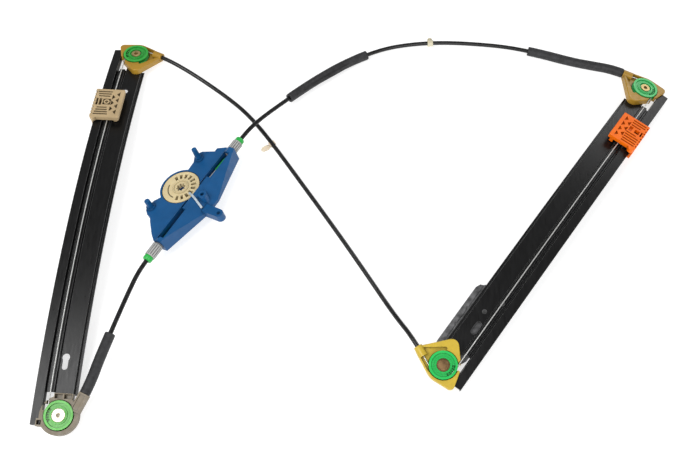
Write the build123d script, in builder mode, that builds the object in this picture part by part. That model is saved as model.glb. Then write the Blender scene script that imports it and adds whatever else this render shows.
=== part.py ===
"""Dual rail window regulator, cable driven, laid on its back with the convex sides of its rails up."""
from build123d import *
from math import asin, cos, degrees, radians, sin, tan
import os

os.makedirs("parts", exist_ok=True)

# Rails: pressed steel, bent to the arc of the door glass
RAIL_RADIUS = 1400.0
SHEET = 1.5
LEFT_SPAN = 548.0
RIGHT_SPAN = 522.0
RAIL_PAST_PULLEY = 12.5
BAND_OUTER = 35.0
BAND_INNER = 23.0
BAND_HEIGHT = 5.0
BAND_TILT = 0.8
LIP_DROP = 6.0
GROOVE_OUTER = 21.6
GROOVE_INNER = 19.8
RIDGE_OUTER = 18.6
RIDGE_INNER = 11.8
RIDGE_HEIGHT = 3.2
RIDGE_FOOT = 10.6
WEB_INNER = 11.5
STEP_WIDTH = 1.0
STRIP_WIDTH = 3.0
STRIP_DROP = 4.0
END_SLOT_BACK = 28.0
STRIP_END_BACK = 26.0

# Where the rails lie: foot of the bottom pulley, heading from +Y towards +X, and roll
LEFT_FOOT = (-388.5, -272.4)
LEFT_HEADING = 3.6
LEFT_ROLL = 0.0
RIGHT_FOOT = (78.5, -209.4)
RIGHT_HEADING = 36.4
RIGHT_ROLL = 5.0

# Holes in the rails, measured across from the pulley line and along from the middle
KEYHOLE_ACROSS = -4.8
KEYHOLE_ALONG = -203.7
KEYHOLE_ROUND = 4.8
KEYHOLE_SLOT = 3.6
KEYHOLE_LENGTH = 12.0
TOP_HOLE_ACROSS = -3.5
TOP_HOLE_ALONG = 205.6
TOP_HOLE_RADIUS = 4.25
OBLONG_ACROSS = -6.0
OBLONG_ALONG = -198.0
OBLONG_LENGTH = 19.0
OBLONG_WIDTH = 7.5

# Bracket behind the right rail, held by two clinch rivets
BRACKET_TOP = -142.0
BRACKET_BOTTOM = -248.0
BRACKET_OUTER = -20.0
BRACKET_STEP = 17.0
BRACKET_INNER = 25.0
BRACKET_STEP_DROP = 3.0
BRACKET_CLEAR = 0.1
BRACKET_CORNER = 9.0
CORNER_FOLD = 0.3 * BRACKET_CORNER
CORNER_OVER = 1.2 * BRACKET_CORNER
CORNER_PAST = -0.1 * BRACKET_CORNER
CORNER_CUT = [
    (CORNER_OVER, CORNER_PAST),
    (CORNER_FOLD, CORNER_FOLD),
    (CORNER_PAST, CORNER_OVER),
    (-CORNER_OVER, CORNER_OVER),
    (-CORNER_OVER, -CORNER_OVER),
    (CORNER_OVER, -CORNER_OVER),
]
GUSSET_ALONG = (-181.0, -207.0, -230.0)
GUSSET_WIDTH = 3.0
CLINCH_SPOTS = ((-2.6, -174.4), (-15.2, -153.6))
CLINCH_RADIUS = 3.2
CLINCH_HEAD = 0.5
CLINCH_SHAFT = 2.0
PAD_RADIUS = 3.2

# Pulleys and the wire that they turn
WIRE = 1.5
WIRE_HEIGHT = 6.5
PITCH_RADIUS = 15.0
PULLEY_RADIUS = 18.0
PULLEY_WIDTH = 8.0
GROOVE_MOUTH = 2.6
RUNNING = 0.05
RIVET_SHAFT = 4.0
RIVET_BORE = 2.8
HUB_RADIUS = 8.6
HUB_RING = 1.0
HUB_RISE = 0.6
FACE_GROOVE_OUTER = 15.0
FACE_GROOVE_INNER = 11.0
FACE_GROOVE_DEPTH = 1.6
CRESCENT_ARC = 70.0
CRESCENT_RIBS = 4
CRESCENT_RIB = 1.0
RIVET_HEAD = 1.2
HEAD_CLEAR = 0.15
RIVET_FOOT_RADIUS = 6.5
FLAT_SEAT = 0.03

# Pulley housings
FLOOR = 2.2
SEAT_RISE = 0.2
HOUSING_HEIGHT = 9.0
WELL_RADIUS = 19.0
HOUSING_RADIUS = 22.0
WALL = 2.0
MOUTH_REACH = 36.0
MOUTH_RADIUS = 5.6
CONDUIT_SEAT = 12.0
LOBE_RADIUS = 9.0
BAND_CLEAR = 0.4
POCKET_FLOOR = 4.0
GAP_ACROSS = -18.5
GAP_ALONG = -9.5
GAP_WIDTH = 5.0
GAP_LENGTH = 8.0
LOBE_ACROSS = 5.0
LOBE_ALONG = -26.0
LUG_ACROSS = -21.0
LUG_ALONG = 15.0
ARM_BLOCK = 23.0
ARM_BLOCK_ACROSS = 2.5
ARM_LUG = 9.5
SOCKET_HEIGHT = 12.5
EDGE_ROUND = 1.2

# Cable conduits
CONDUIT = 6.0
SEAT_CLEAR = 0.05
FOAM = 13.0
FOAM_CLEAR = 0.1

# Routes of the conduits between their glands, points chosen along them, and the straight length at each gland
UPPER_LEAD = 21.0
LOWER_LEAD = 20.0
LEFT_TOP_LEAD = 24.0
LEFT_BOTTOM_LEAD = 24.0
RIGHT_TOP_LEAD = 26.0
RIGHT_BOTTOM_LEAD = 26.0
TO_RIGHT_TOP = [
    (-165.0, 153.1, 24.5),
    (-143.0, 178.1, 19.0),
    (-107.5, 215.6, 11.0),
    (-69.9, 248.0, 7.5),
    (-33.2, 272.3, 6.8),
    (11.7, 294.2, 6.8),
    (58.5, 304.6, 5.8),
    (108.7, 307.4, 5.8),
    (167.3, 302.8, 6.0),
    (206.8, 296.2, 6.8),
    (251.1, 283.9, 7.0),
    (291.9, 267.4, 9.5),
    (320.0, 255.3, 15.5),
]
TO_RIGHT_BOTTOM = [
    (-273.0, 247.6, 11.0),
    (-242.0, 227.1, 5.5),
    (-212.0, 203.1, 4.0),
    (-187.0, 179.1, 4.2),
    (-161.5, 146.6, 5.0),
    (-133.5, 105.1, 5.0),
    (-103.0, 59.1, 3.4),
    (-72.0, 11.6, 3.2),
    (-42.0, -35.4, 3.2),
    (-13.0, -82.4, 3.2),
    (6.5, -114.9, 3.6),
    (23.0, -143.4, 8.0),
]
TO_LEFT_BOTTOM = [
    (-320.5, -114.4, 24.2),
    (-334.5, -158.9, 21.7),
    (-347.3, -202.9, 20.6),
]
BEND_SHARE = 0.45

# Foam sleeves on the conduits and the two clips
FOAM_GAP = 0.4
CLIP_CLEAR = 0.1
RING_CLIP_LENGTH = 8.0
RING_CLIP_RADIUS = 4.9
RING_CLIP_RUN = 8
STUD_REACH = 7.6
STUD_RADIUS = 2.2
STUD_HEAD = 3.4
STUD_HEAD_THICK = 1.6
EDGE_CLIP_LENGTH = 7.0
EDGE_CLIP_RADIUS = 4.4
EDGE_CLIP_RUN = 6
EDGE_CLIP_OPEN = 1.0
TONGUE_HALF_LENGTH = 7.5
TONGUE_HALF_WIDTH = 3.8
TONGUE_MIDDLE = 10.5
TONGUE_THICK = 2.2
TONGUE_HOLE = 1.3
TONGUE_HOLE_SPOT = (6.0, 1.6)

# Sliders
SLIDER_LENGTH = 58.0
SLIDER_CORNER = 1.5
GUIDE_LENGTH = 56.0
SLIDER_OUTER = 41.5
SLIDER_INNER = 0.7
LEFT_SLIDER_DROP = 103.78
RIGHT_SLIDER_DROP = 90.536
GLIDE = 0.45
PLATE = 2.5
SLIDER_HEIGHT = 11.0
HOOK_REACH = 4.6
HOOK_THICK = 1.8
GUIDE_FOOT_INNER = 2.0
GUIDE_FOOT_WIDTH = 5.0
RIVET_CLEAR = 1.0
NIPPLE_RADIUS = 2.4
NIPPLE_LENGTH = 10.0
NIPPLE_CLEAR = 0.1
CRADLE_WIDTH = 9.0
CRADLE_LENGTH = 15.0

# Drum housing: where the drum's axis leaves its top face, and how the housing leans
DRUM_SPOT = (-266.5, 41.6, 25.5)
CABLE_LINE_HEADING = 30.7
HOUSING_LEAN = 16.0
DRUM_RADIUS = 26.5
DRUM_WIDTH = 14.5
WRAP_RADIUS = 25.6
WRAP_TOP = 3.6
WRAP_PITCH = 2.4
WRAP_COUNT = 4
WRAP_FLARE = 0.2
DRUM_CLEAR = 1.0
RING_WALL = 2.6
PLATE_BELOW = 3.0
DRUM_LIFT = 0.3
CHANNEL_WIDTH = 4.0
FERRULE_RADIUS = 5.5
FERRULE_LENGTH = 19.0
FERRULE_FLUTES = 14
CAP_RADIUS = 4.4
CAP_LENGTH = 7.0
FERRULE_INSERT = 6.0
FERRULE_LEVEL = -7.25
FERRULE_BORE = 1.2
UPPER_END = 80.0
LOWER_END = -88.0
CAP_SEAT = 5.0
CAP_DRAFT = 3.0
SLEEVE_RADIUS = 1.7
SLEEVE_BORE = 0.8
UPPER_SLEEVE = (46.0, 68.0)
LOWER_SLEEVE = (-56.0, -74.0)
CABLE_START = 10.0
PEG_RADIUS = 3.4
PEG_LENGTH = 20.0
PEG_DRAFT = 2.0
PEG_SPOTS = ((-2.0, 53.0), (-16.0, -41.0))
TOWER_SPOT = (43.0, -2.0)
TOWER_RADIUS = 6.0
TOWER_HEIGHT = 7.0
SCREW_BORE = 2.75
LUG_SPOT = (74.0, -13.0)
LUG_RADIUS = 7.0
SPIGOT_RADIUS = 8.0
SPIGOT_BORE = 6.2
SPIGOT_TOP = -7.5
STRAP_THICK = 0.8
STRAP_CLEAR = 0.8
STRAP_WIDTH = 3.0
STRAP_FROM = (19.0, 1.0)
STRAP_TO = (63.0, -20.0)
RIB_TOP = 4.0
RIB_STEP = 1.6
RIB_ACROSS = 37.0
EDGE_ACROSS = 66.0
EDGE_TOP = -9.0
RIB_GROOVES = 2
RIB_PITCH = 3.0
RIB_GROOVE = 1.2
RIB_GROOVE_LENGTH = 46.0
RIB_GROOVE_MIDDLES = (40.0, -45.0)
BACK_DEPTH = 8.0
BACK_POCKETS = (
    ((41, 8), (61, 8), (50, 66), (41, 68)),
    ((41, -12), (61, -12), (47, -82), (41, -82)),
)
HOUSING_CORNERS = (
    (-7, 66),
    (9, 70),
    (10, 76),
    (27, 82),
    (44, 79),
    (52, 72),
    (68, 0),
    (50, -90),
    (20, -86),
    (-6, -66),
    (-21, -52),
    (-21, -20),
    (-20, 20),
    (-11, 30),
    (-9, 46),
)
FLUTE_RADIUS = 0.7
FLUTE_START = 1.5
SPLINE_ROOT = 5.4
SPLINE_TEETH = 8
SPLINE_DEPTH = 1.2
SPLINE_WIDTH = 1.8
HUB_FLAT = 10.0
POCKET_CIRCLE = 18.4
POCKET_COUNT = 11
POCKET_START = -70.0
POCKET_SWEEP = 240.0
POCKET_WIDTH = 4.4
POCKET_RADIAL = 7.0
POCKET_DEPTH = 9.0
POCKET_SIDE = 85.0
SCROLL_START = 190.0
SCROLL_SWEEP = 80.0
SCROLL_WIDTH = 1.6

# Slider faces: pockets down to the plate and windows through it, as across, along, width, length
LEFT_POCKETS = (
    (-25.0, 23.5, 14.0, 3.2),
    (-25.0, 16.5, 14.0, 3.2),
    (-36.0, 16.5, 4.0, 3.2),
    (-25.0, -11.5, 14.0, 4.0),
    (-36.0, -11.5, 4.0, 4.0),
    (-25.0, -17.5, 14.0, 3.2),
    (-24.0, -23.5, 24.0, 2.4),
    (-23.0, 6.5, 5.0, 4.5),
)
LEFT_WINDOWS = ((-36.4, 2.0, 3.0, 15.0), (-31.4, 2.0, 4.0, 15.0))
RIGHT_POCKETS = (
    (-26.0, 23.0, 16.0, 3.0),
    (-26.0, 17.5, 16.0, 3.0),
    (-37.5, 20.0, 3.0, 8.0),
    (-26.0, -6.5, 16.0, 3.0),
    (-26.0, -12.0, 16.0, 3.0),
    (-26.0, -17.5, 16.0, 3.0),
    (-26.0, -23.0, 16.0, 3.0),
    (-37.5, -14.0, 3.0, 16.0),
    (-21.0, 6.0, 5.0, 9.0),
)
RIGHT_WINDOWS = ((-30.2, 5.3, 7.0, 7.0), (-37.0, 5.3, 2.6, 9.0))
LUG_CORNER = -36.5
LUG_CORNER_RADIUS = 4.5
GUSSET_ROWS = (20.0, 8.0, -4.0, -16.0)
GUSSET_ACROSS = -12.5
GUSSET_TALL = 9.0
COMB_PITCH = 6.6
COMB_COUNT = 8
COMB_WIDTH = 3.0
COMB_DEPTH = 2.2


def rail_frame(foot, heading, roll, span, outer):
    """Plane on the web at the rail's middle: x across, y up the rail, with the lip's ends on the ground."""
    turn = radians(heading)
    lean = radians(roll)
    along = Vector(sin(turn), cos(turn), 0)
    level = Vector(cos(turn), -sin(turn), 0)
    normal = Vector(0, 0, 1) * cos(lean) + level * sin(lean)
    across = level * cos(lean) - Vector(0, 0, 1) * sin(lean)
    rise = RAIL_RADIUS * (1 - cos(asin(span / 2 / RAIL_RADIUS)))
    middle = Vector(foot[0], foot[1], 0) + along * (span / 2) + normal * rise
    trial = Plane(origin=middle, x_dir=across, z_dir=normal)
    end = rail_arc(span) + RAIL_PAST_PULLEY
    low = min(rail_spot(trial, way * end, outer * BAND_OUTER, -LIP_DROP).position.Z for way in (-1, 1))
    return Plane(origin=middle - Vector(0, 0, low), x_dir=across, z_dir=normal)


def rail_arc(span):
    """Arc from the rail's middle to a pulley axis."""
    return RAIL_RADIUS * asin(span / 2 / RAIL_RADIUS)


def rail_spot(frame, along, across=0.0, up=0.0):
    """Place on the rail's curved web: x across, y up the rail, z away from its centre of curvature."""
    swing = Location((0, 0, -RAIL_RADIUS)) * Location((0, 0, 0), (-degrees(along / RAIL_RADIUS), 0, 0))
    return frame.location * swing * Location((across, 0, RAIL_RADIUS + up))


def flip(piece, across, along=False):
    """Mirror a piece made in the pattern frame for the other hand or the other end."""
    if across:
        piece = mirror(piece, about=Plane.YZ)
    if along:
        piece = mirror(piece, about=Plane.XZ)
    return piece


def write(piece, name):
    """Label a seated piece and write it out."""
    piece.label = name
    export_step(piece, f"parts/{name}.step")
    return piece


LEFT = rail_frame(LEFT_FOOT, LEFT_HEADING, LEFT_ROLL, LEFT_SPAN, -1)
RIGHT = rail_frame(RIGHT_FOOT, RIGHT_HEADING, RIGHT_ROLL, RIGHT_SPAN, 1)

# Each pulley: frame, arc to its axis, mirrored across, mirrored along, angle of the cable's exit
ENDS = {
    "left_top": (LEFT, rail_arc(LEFT_SPAN), False, False, 25.5),
    "left_bottom": (LEFT, -rail_arc(LEFT_SPAN), False, True, 68.0),
    "right_top": (RIGHT, rail_arc(RIGHT_SPAN), True, False, 15.0),
    "right_bottom": (RIGHT, -rail_arc(RIGHT_SPAN), True, True, 23.7),
}


def end_place(end, x, y, z):
    """Point in the part's frame of a place in a pulley's pattern frame: x inward, y past the end, z up."""
    frame, along, across_flip, along_flip, _ = ENDS[end]
    spot = rail_spot(frame, along)
    side = -1 if across_flip else 1
    way = -1 if along_flip else 1
    return (spot * Location((side * x, way * y, z))).position


def exit_point(angle, reach):
    """Place on the cable where it has left the pulley by a length, in the pattern frame."""
    lead = radians(angle)
    x = PITCH_RADIUS * sin(lead) + reach * cos(lead)
    y = PITCH_RADIUS * cos(lead) - reach * sin(lead)
    return x, y


def seat_on_end(piece, end):
    """Carry a piece from the pattern frame to its pulley."""
    frame, along, across_flip, along_flip, _ = ENDS[end]
    return rail_spot(frame, along) * flip(piece, across_flip, along_flip)


def rail_section():
    """Top line of the pressed section, from the outer lip to the inner strip."""
    return [
        (-BAND_OUTER, -LIP_DROP),
        (-BAND_OUTER, BAND_HEIGHT - BAND_TILT),
        (-BAND_INNER, BAND_HEIGHT),
        (-GROOVE_OUTER, 0),
        (-GROOVE_INNER, 0),
        (-RIDGE_OUTER, RIDGE_HEIGHT),
        (-RIDGE_INNER, RIDGE_HEIGHT),
        (-RIDGE_FOOT, 0),
        (WEB_INNER, 0),
        (WEB_INNER + STEP_WIDTH, -STRIP_DROP),
        (WEB_INNER + STEP_WIDTH + STRIP_WIDTH, -STRIP_DROP),
    ]


PATTERN = Plane.XY
BEND_AXIS = Axis((0, 0, -RAIL_RADIUS), (-1, 0, 0))


def section_plane(along):
    """Upright plane across the rail at a place along it: x across, y away from the bend's centre."""
    spot = rail_spot(PATTERN, along) * Location((0, 0, 0), (90, 0, 0))
    return Plane(spot)


def bent_sheet(points, start, stop):
    """Sheet with the given top line, bent round the rail's arc from start to stop."""
    with BuildPart() as sheet:
        with BuildSketch(section_plane(start)):
            with BuildLine():
                Polyline(*points)
                offset(amount=SHEET, side=Side.RIGHT, kind=Kind.INTERSECTION)
            make_face()
        revolve(axis=BEND_AXIS, revolution_arc=degrees((stop - start) / RAIL_RADIUS))
    return sheet.part


def web_plane(along, across=0.0, up=0.0):
    """Plane on the web of the pattern rail."""
    return Plane(rail_spot(PATTERN, along, across, up))


def rail(span, holes):
    """One rail in its pattern frame with its end slots, rivet holes and own holes."""
    reach = rail_arc(span) + RAIL_PAST_PULLEY
    blank = bent_sheet(rail_section(), -reach, reach)
    with BuildPart() as body:
        add(blank)
        for way in (-1, 1):
            with BuildSketch(web_plane(way * rail_arc(span))):
                slot_length = END_SLOT_BACK + RAIL_PAST_PULLEY + 1
                slot_middle = way * (RAIL_PAST_PULLEY + 1 - END_SLOT_BACK) / 2
                with Locations((-(GROOVE_OUTER + RIDGE_FOOT) / 2, slot_middle)):
                    Rectangle(GROOVE_OUTER - RIDGE_FOOT, slot_length)
                strip_length = STRIP_END_BACK + RAIL_PAST_PULLEY + 1
                strip_middle = way * (RAIL_PAST_PULLEY + 1 - STRIP_END_BACK) / 2
                with Locations((WEB_INNER + STRIP_WIDTH, strip_middle)):
                    Rectangle(2 * STRIP_WIDTH, strip_length)
                Circle(RIVET_SHAFT + RUNNING)
            extrude(amount=LIP_DROP + SHEET, both=True, mode=Mode.SUBTRACT)
        for hole in holes:
            extrude(hole, amount=RIDGE_HEIGHT + SHEET, both=True, mode=Mode.SUBTRACT)
    return body.part


def left_holes():
    """Keyhole low on the web and a round hole near the top."""
    with BuildSketch(web_plane(KEYHOLE_ALONG, KEYHOLE_ACROSS)) as keyhole:
        Circle(KEYHOLE_ROUND)
        with Locations((0, -KEYHOLE_LENGTH / 2)):
            Rectangle(2 * KEYHOLE_SLOT, KEYHOLE_LENGTH)
        with Locations((0, -KEYHOLE_LENGTH)):
            Circle(KEYHOLE_SLOT)
    with BuildSketch(web_plane(TOP_HOLE_ALONG, TOP_HOLE_ACROSS)) as top_hole:
        Circle(TOP_HOLE_RADIUS)
    return [keyhole.sketch, top_hole.sketch]


def right_holes():
    """Oblong hole low on the web and the two clinch rivet holes."""
    with BuildSketch(web_plane(OBLONG_ALONG, OBLONG_ACROSS)) as oblong:
        SlotOverall(OBLONG_LENGTH, OBLONG_WIDTH, rotation=90)
    holes = [oblong.sketch]
    for across, along in CLINCH_SPOTS:
        with BuildSketch(web_plane(along, across)) as clinch_hole:
            Circle(CLINCH_SHAFT + RUNNING)
        holes.append(clinch_hole.sketch)
    return holes


def web_top(across):
    """Height of the pressed sheet's top face at a place across it."""
    on_ridge = -RIDGE_OUTER < across < -RIDGE_INNER
    return RIDGE_HEIGHT if on_ridge else 0.0


def bracket():
    """Stamped bracket under the right rail, raised to the sheet at its rivets and ribbed on its step."""
    top = -STRIP_DROP - SHEET - BRACKET_CLEAR
    line = [
        (BRACKET_OUTER, top),
        (BRACKET_STEP, top),
        (BRACKET_STEP + STEP_WIDTH, top - BRACKET_STEP_DROP),
        (BRACKET_INNER, top - BRACKET_STEP_DROP),
    ]
    blank = bent_sheet(line, BRACKET_BOTTOM, BRACKET_TOP)
    with BuildPart() as body:
        add(blank)
        for across, along in CLINCH_SPOTS:
            rise = web_top(across) - SHEET - BRACKET_CLEAR - top
            with BuildSketch(web_plane(along, across, top - SHEET / 2)):
                Circle(PAD_RADIUS)
            extrude(amount=rise + SHEET / 2 - FLAT_SEAT)
            with BuildSketch(web_plane(along, across, top - 2 * SHEET)):
                Circle(CLINCH_SHAFT + RUNNING)
            extrude(amount=rise + 3 * SHEET, mode=Mode.SUBTRACT)
        for along in GUSSET_ALONG:
            with BuildSketch(section_plane(along)):
                with BuildLine():
                    Polyline(
                        (BRACKET_STEP, top - SHEET / 2),
                        (BRACKET_STEP + STEP_WIDTH / 2, top - SHEET / 2),
                        (BRACKET_STEP + STEP_WIDTH + BRACKET_STEP_DROP, top - BRACKET_STEP_DROP - SHEET / 2),
                        (BRACKET_STEP, top - BRACKET_STEP_DROP - SHEET / 2),
                        close=True,
                    )
                make_face()
            extrude(amount=GUSSET_WIDTH / 2, both=True)
        for along, way in ((BRACKET_TOP, -1), (BRACKET_BOTTOM, 1)):
            for across, side in ((BRACKET_INNER, -1), (BRACKET_OUTER, 1)):
                with BuildSketch(web_plane(along, across, top - SHEET)):
                    with BuildLine():
                        Polyline([(side * a, way * b) for a, b in CORNER_CUT], close=True)
                    make_face()
                extrude(amount=2 * BRACKET_CORNER, both=True, mode=Mode.SUBTRACT)
    return body.part


def clinch(across, along):
    """Clinch rivet through the rail and the bracket's pad."""
    head = web_top(across) + FLAT_SEAT
    foot = -STRIP_DROP - 2 * SHEET - BRACKET_CLEAR - FLAT_SEAT
    with BuildPart() as body:
        with BuildSketch(web_plane(along, across, foot)):
            Circle(CLINCH_SHAFT)
        extrude(amount=head - foot)
        with BuildSketch(web_plane(along, across, head)):
            Circle(CLINCH_RADIUS)
            Circle(CLINCH_SHAFT - CLINCH_HEAD, mode=Mode.SUBTRACT)
        extrude(amount=CLINCH_HEAD)
        with BuildSketch(web_plane(along, across, foot)):
            Circle(CLINCH_RADIUS)
        extrude(amount=-CLINCH_HEAD)
    return body.part


def pulley():
    """Grooved pulley with a raised hub ring, a face groove and a ribbed crescent recess."""
    low = FLOOR + SEAT_RISE + RUNNING
    top = low + PULLEY_WIDTH
    core = PITCH_RADIUS - WIRE / 2 - RUNNING
    with BuildPart() as body:
        with BuildSketch(Plane.XZ):
            with BuildLine():
                Polyline(
                    (RIVET_SHAFT + RUNNING, low),
                    (PULLEY_RADIUS, low),
                    (PULLEY_RADIUS, WIRE_HEIGHT - GROOVE_MOUTH),
                    (core, WIRE_HEIGHT - WIRE / 2),
                    (core, WIRE_HEIGHT + WIRE / 2),
                    (PULLEY_RADIUS, WIRE_HEIGHT + GROOVE_MOUTH),
                    (PULLEY_RADIUS, top),
                    (FACE_GROOVE_OUTER, top),
                    (FACE_GROOVE_OUTER, top - FACE_GROOVE_DEPTH),
                    (FACE_GROOVE_INNER, top - FACE_GROOVE_DEPTH),
                    (FACE_GROOVE_INNER, top - HUB_RISE),
                    (HUB_RADIUS + HUB_RING, top - HUB_RISE),
                    (HUB_RADIUS + HUB_RING, top),
                    (HUB_RADIUS, top),
                    (HUB_RADIUS, top - FACE_GROOVE_DEPTH),
                    (RIVET_SHAFT + RUNNING, top - FACE_GROOVE_DEPTH),
                    close=True,
                )
            make_face()
        revolve(axis=Axis.Z)
        with BuildSketch(Plane.XY.offset(top - FACE_GROOVE_DEPTH)):
            with BuildLine():
                CenterArc((0, 0), FACE_GROOVE_OUTER, 180 - CRESCENT_ARC / 2, CRESCENT_ARC)
                CenterArc((0, 0), FACE_GROOVE_INNER, 180 - CRESCENT_ARC / 2, CRESCENT_ARC)
                for half in (-CRESCENT_ARC / 2, CRESCENT_ARC / 2):
                    side = radians(180 + half)
                    Line(
                        (FACE_GROOVE_INNER * cos(side), FACE_GROOVE_INNER * sin(side)),
                        (FACE_GROOVE_OUTER * cos(side), FACE_GROOVE_OUTER * sin(side)),
                    )
            make_face()
            middle = (FACE_GROOVE_OUTER + FACE_GROOVE_INNER) / 2
            spread = CRESCENT_ARC * (CRESCENT_RIBS - 1) / (CRESCENT_RIBS + 1)
            with PolarLocations(middle, CRESCENT_RIBS, 180 - spread / 2, spread, endpoint=True):
                Rectangle(FACE_GROOVE_OUTER, CRESCENT_RIB, mode=Mode.SUBTRACT)
        extrude(amount=-FACE_GROOVE_DEPTH, mode=Mode.SUBTRACT)
    return body.part


def rivet(head_radius, bore):
    """Hollow shouldered rivet: foot flange under the web, shaft through the pulley, flange above it."""
    low = -SHEET - FLAT_SEAT
    top = FLOOR + SEAT_RISE + RUNNING + PULLEY_WIDTH - FACE_GROOVE_DEPTH + HEAD_CLEAR
    with BuildPart() as body:
        with BuildSketch(Plane.XZ):
            with BuildLine():
                Polyline(
                    (bore, low - RIVET_HEAD),
                    (RIVET_FOOT_RADIUS, low - RIVET_HEAD),
                    (RIVET_FOOT_RADIUS, low),
                    (RIVET_SHAFT, low),
                    (RIVET_SHAFT, top),
                    (head_radius, top),
                    (head_radius, top + RIVET_HEAD),
                    (bore, top + RIVET_HEAD),
                    close=True,
                )
            make_face()
        revolve(axis=Axis.Z)
    return body.part


def closed_rivet(head_radius):
    """Rivet with a closed domed head and a ring round it."""
    hollow = rivet(head_radius, RIVET_BORE)
    top = hollow.bounding_box().max.Z
    with BuildPart() as body:
        add(hollow)
        with BuildSketch(Plane.XY.offset(top - RIVET_HEAD)):
            Circle(RIVET_BORE)
        extrude(amount=RIVET_HEAD)
        with BuildSketch(Plane.XY.offset(top)):
            Circle(head_radius - HUB_RING)
        extrude(amount=HUB_RISE, taper=30)
    return body.part


def conduit_mouth(angle):
    """Plane at the conduit's seat, its z along the cable away from the pulley."""
    x, y = exit_point(angle, MOUTH_REACH)
    lead = radians(angle)
    return Plane(origin=(x, y, WIRE_HEIGHT), x_dir=(0, 0, 1), z_dir=(cos(lead), -sin(lead), 0))


def housing_openings(angle):
    """Solid of the openings that every pulley housing shares."""
    mouth = conduit_mouth(angle)
    with BuildPart() as body:
        with BuildSketch(Plane.XY.offset(FLOOR)):
            Circle(WELL_RADIUS)
        extrude(amount=2 * HOUSING_HEIGHT)
        with BuildSketch(Plane.XY):
            Circle(RIVET_SHAFT + RUNNING)
            with Locations((GAP_ACROSS, GAP_ALONG)):
                Rectangle(GAP_WIDTH, GAP_LENGTH)
        extrude(amount=2 * HOUSING_HEIGHT, both=True)
        with BuildSketch(Plane.XY.offset(WIRE_HEIGHT - WIRE)):
            with Locations((-PITCH_RADIUS, -PULLEY_RADIUS)):
                Rectangle(2 * WIRE, 2 * PULLEY_RADIUS)
        extrude(amount=HOUSING_HEIGHT)
        with BuildSketch(Plane.XY.offset(-HOUSING_HEIGHT)):
            with Locations((-BAND_OUTER, -BAND_OUTER)):
                width = BAND_OUTER - GROOVE_OUTER + BAND_CLEAR
                length = BAND_OUTER + RAIL_PAST_PULLEY + BAND_CLEAR
                Rectangle(width, length, align=(Align.MIN, Align.MIN))
        extrude(amount=HOUSING_HEIGHT + BAND_HEIGHT + BAND_CLEAR)
        with BuildSketch(mouth):
            Circle(CONDUIT / 2 + SEAT_CLEAR)
        extrude(amount=-CONDUIT_SEAT)
        with BuildSketch(mouth):
            Circle(WIRE)
        extrude(amount=-MOUTH_REACH)
    return body.part


def seat_ring():
    """Low ring that the pulley runs on."""
    with BuildPart() as body:
        with BuildSketch(Plane.XY.offset(FLOOR)):
            Circle(RIVET_FOOT_RADIUS)
            Circle(RIVET_SHAFT + RUNNING, mode=Mode.SUBTRACT)
        extrude(amount=SEAT_RISE)
    return body.part


def drop_housing(angle):
    """Teardrop housing: a shell round the pulley drawn out to the conduit's mouth, with a clip lobe."""
    tip_x, tip_y = exit_point(angle, MOUTH_REACH - MOUTH_RADIUS)
    openings = housing_openings(angle)
    ring = seat_ring()
    with BuildPart() as body:
        with BuildSketch(Plane.XY):
            with BuildLine():
                CenterArc((0, 0), HOUSING_RADIUS, 0, 360)
                CenterArc((tip_x, tip_y), MOUTH_RADIUS, 0, 360)
                CenterArc((LOBE_ACROSS, LOBE_ALONG), LOBE_RADIUS, 0, 360)
                CenterArc((LUG_ACROSS, LUG_ALONG), MOUTH_RADIUS, 0, 360)
            make_hull()
        extrude(amount=HOUSING_HEIGHT)
        fillet(body.faces().sort_by(Axis.Z)[-1].outer_wire().edges(), radius=EDGE_ROUND)
        with BuildSketch(Plane.XY.offset(POCKET_FLOOR)):
            with BuildLine():
                CenterArc((tip_x, tip_y), MOUTH_RADIUS - WALL, 0, 360)
                CenterArc((WELL_RADIUS / 2, WELL_RADIUS / 2 - WALL), WELL_RADIUS / 2, 0, 360)
                CenterArc((WELL_RADIUS / 2, -WELL_RADIUS), WALL, 0, 360)
            make_hull()
        extrude(amount=HOUSING_HEIGHT, mode=Mode.SUBTRACT)
        with BuildSketch(conduit_mouth(angle)):
            Circle(MOUTH_RADIUS)
        extrude(amount=-CONDUIT_SEAT - WALL)
        add(openings, mode=Mode.SUBTRACT)
        add(ring)
    return body.part


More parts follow.
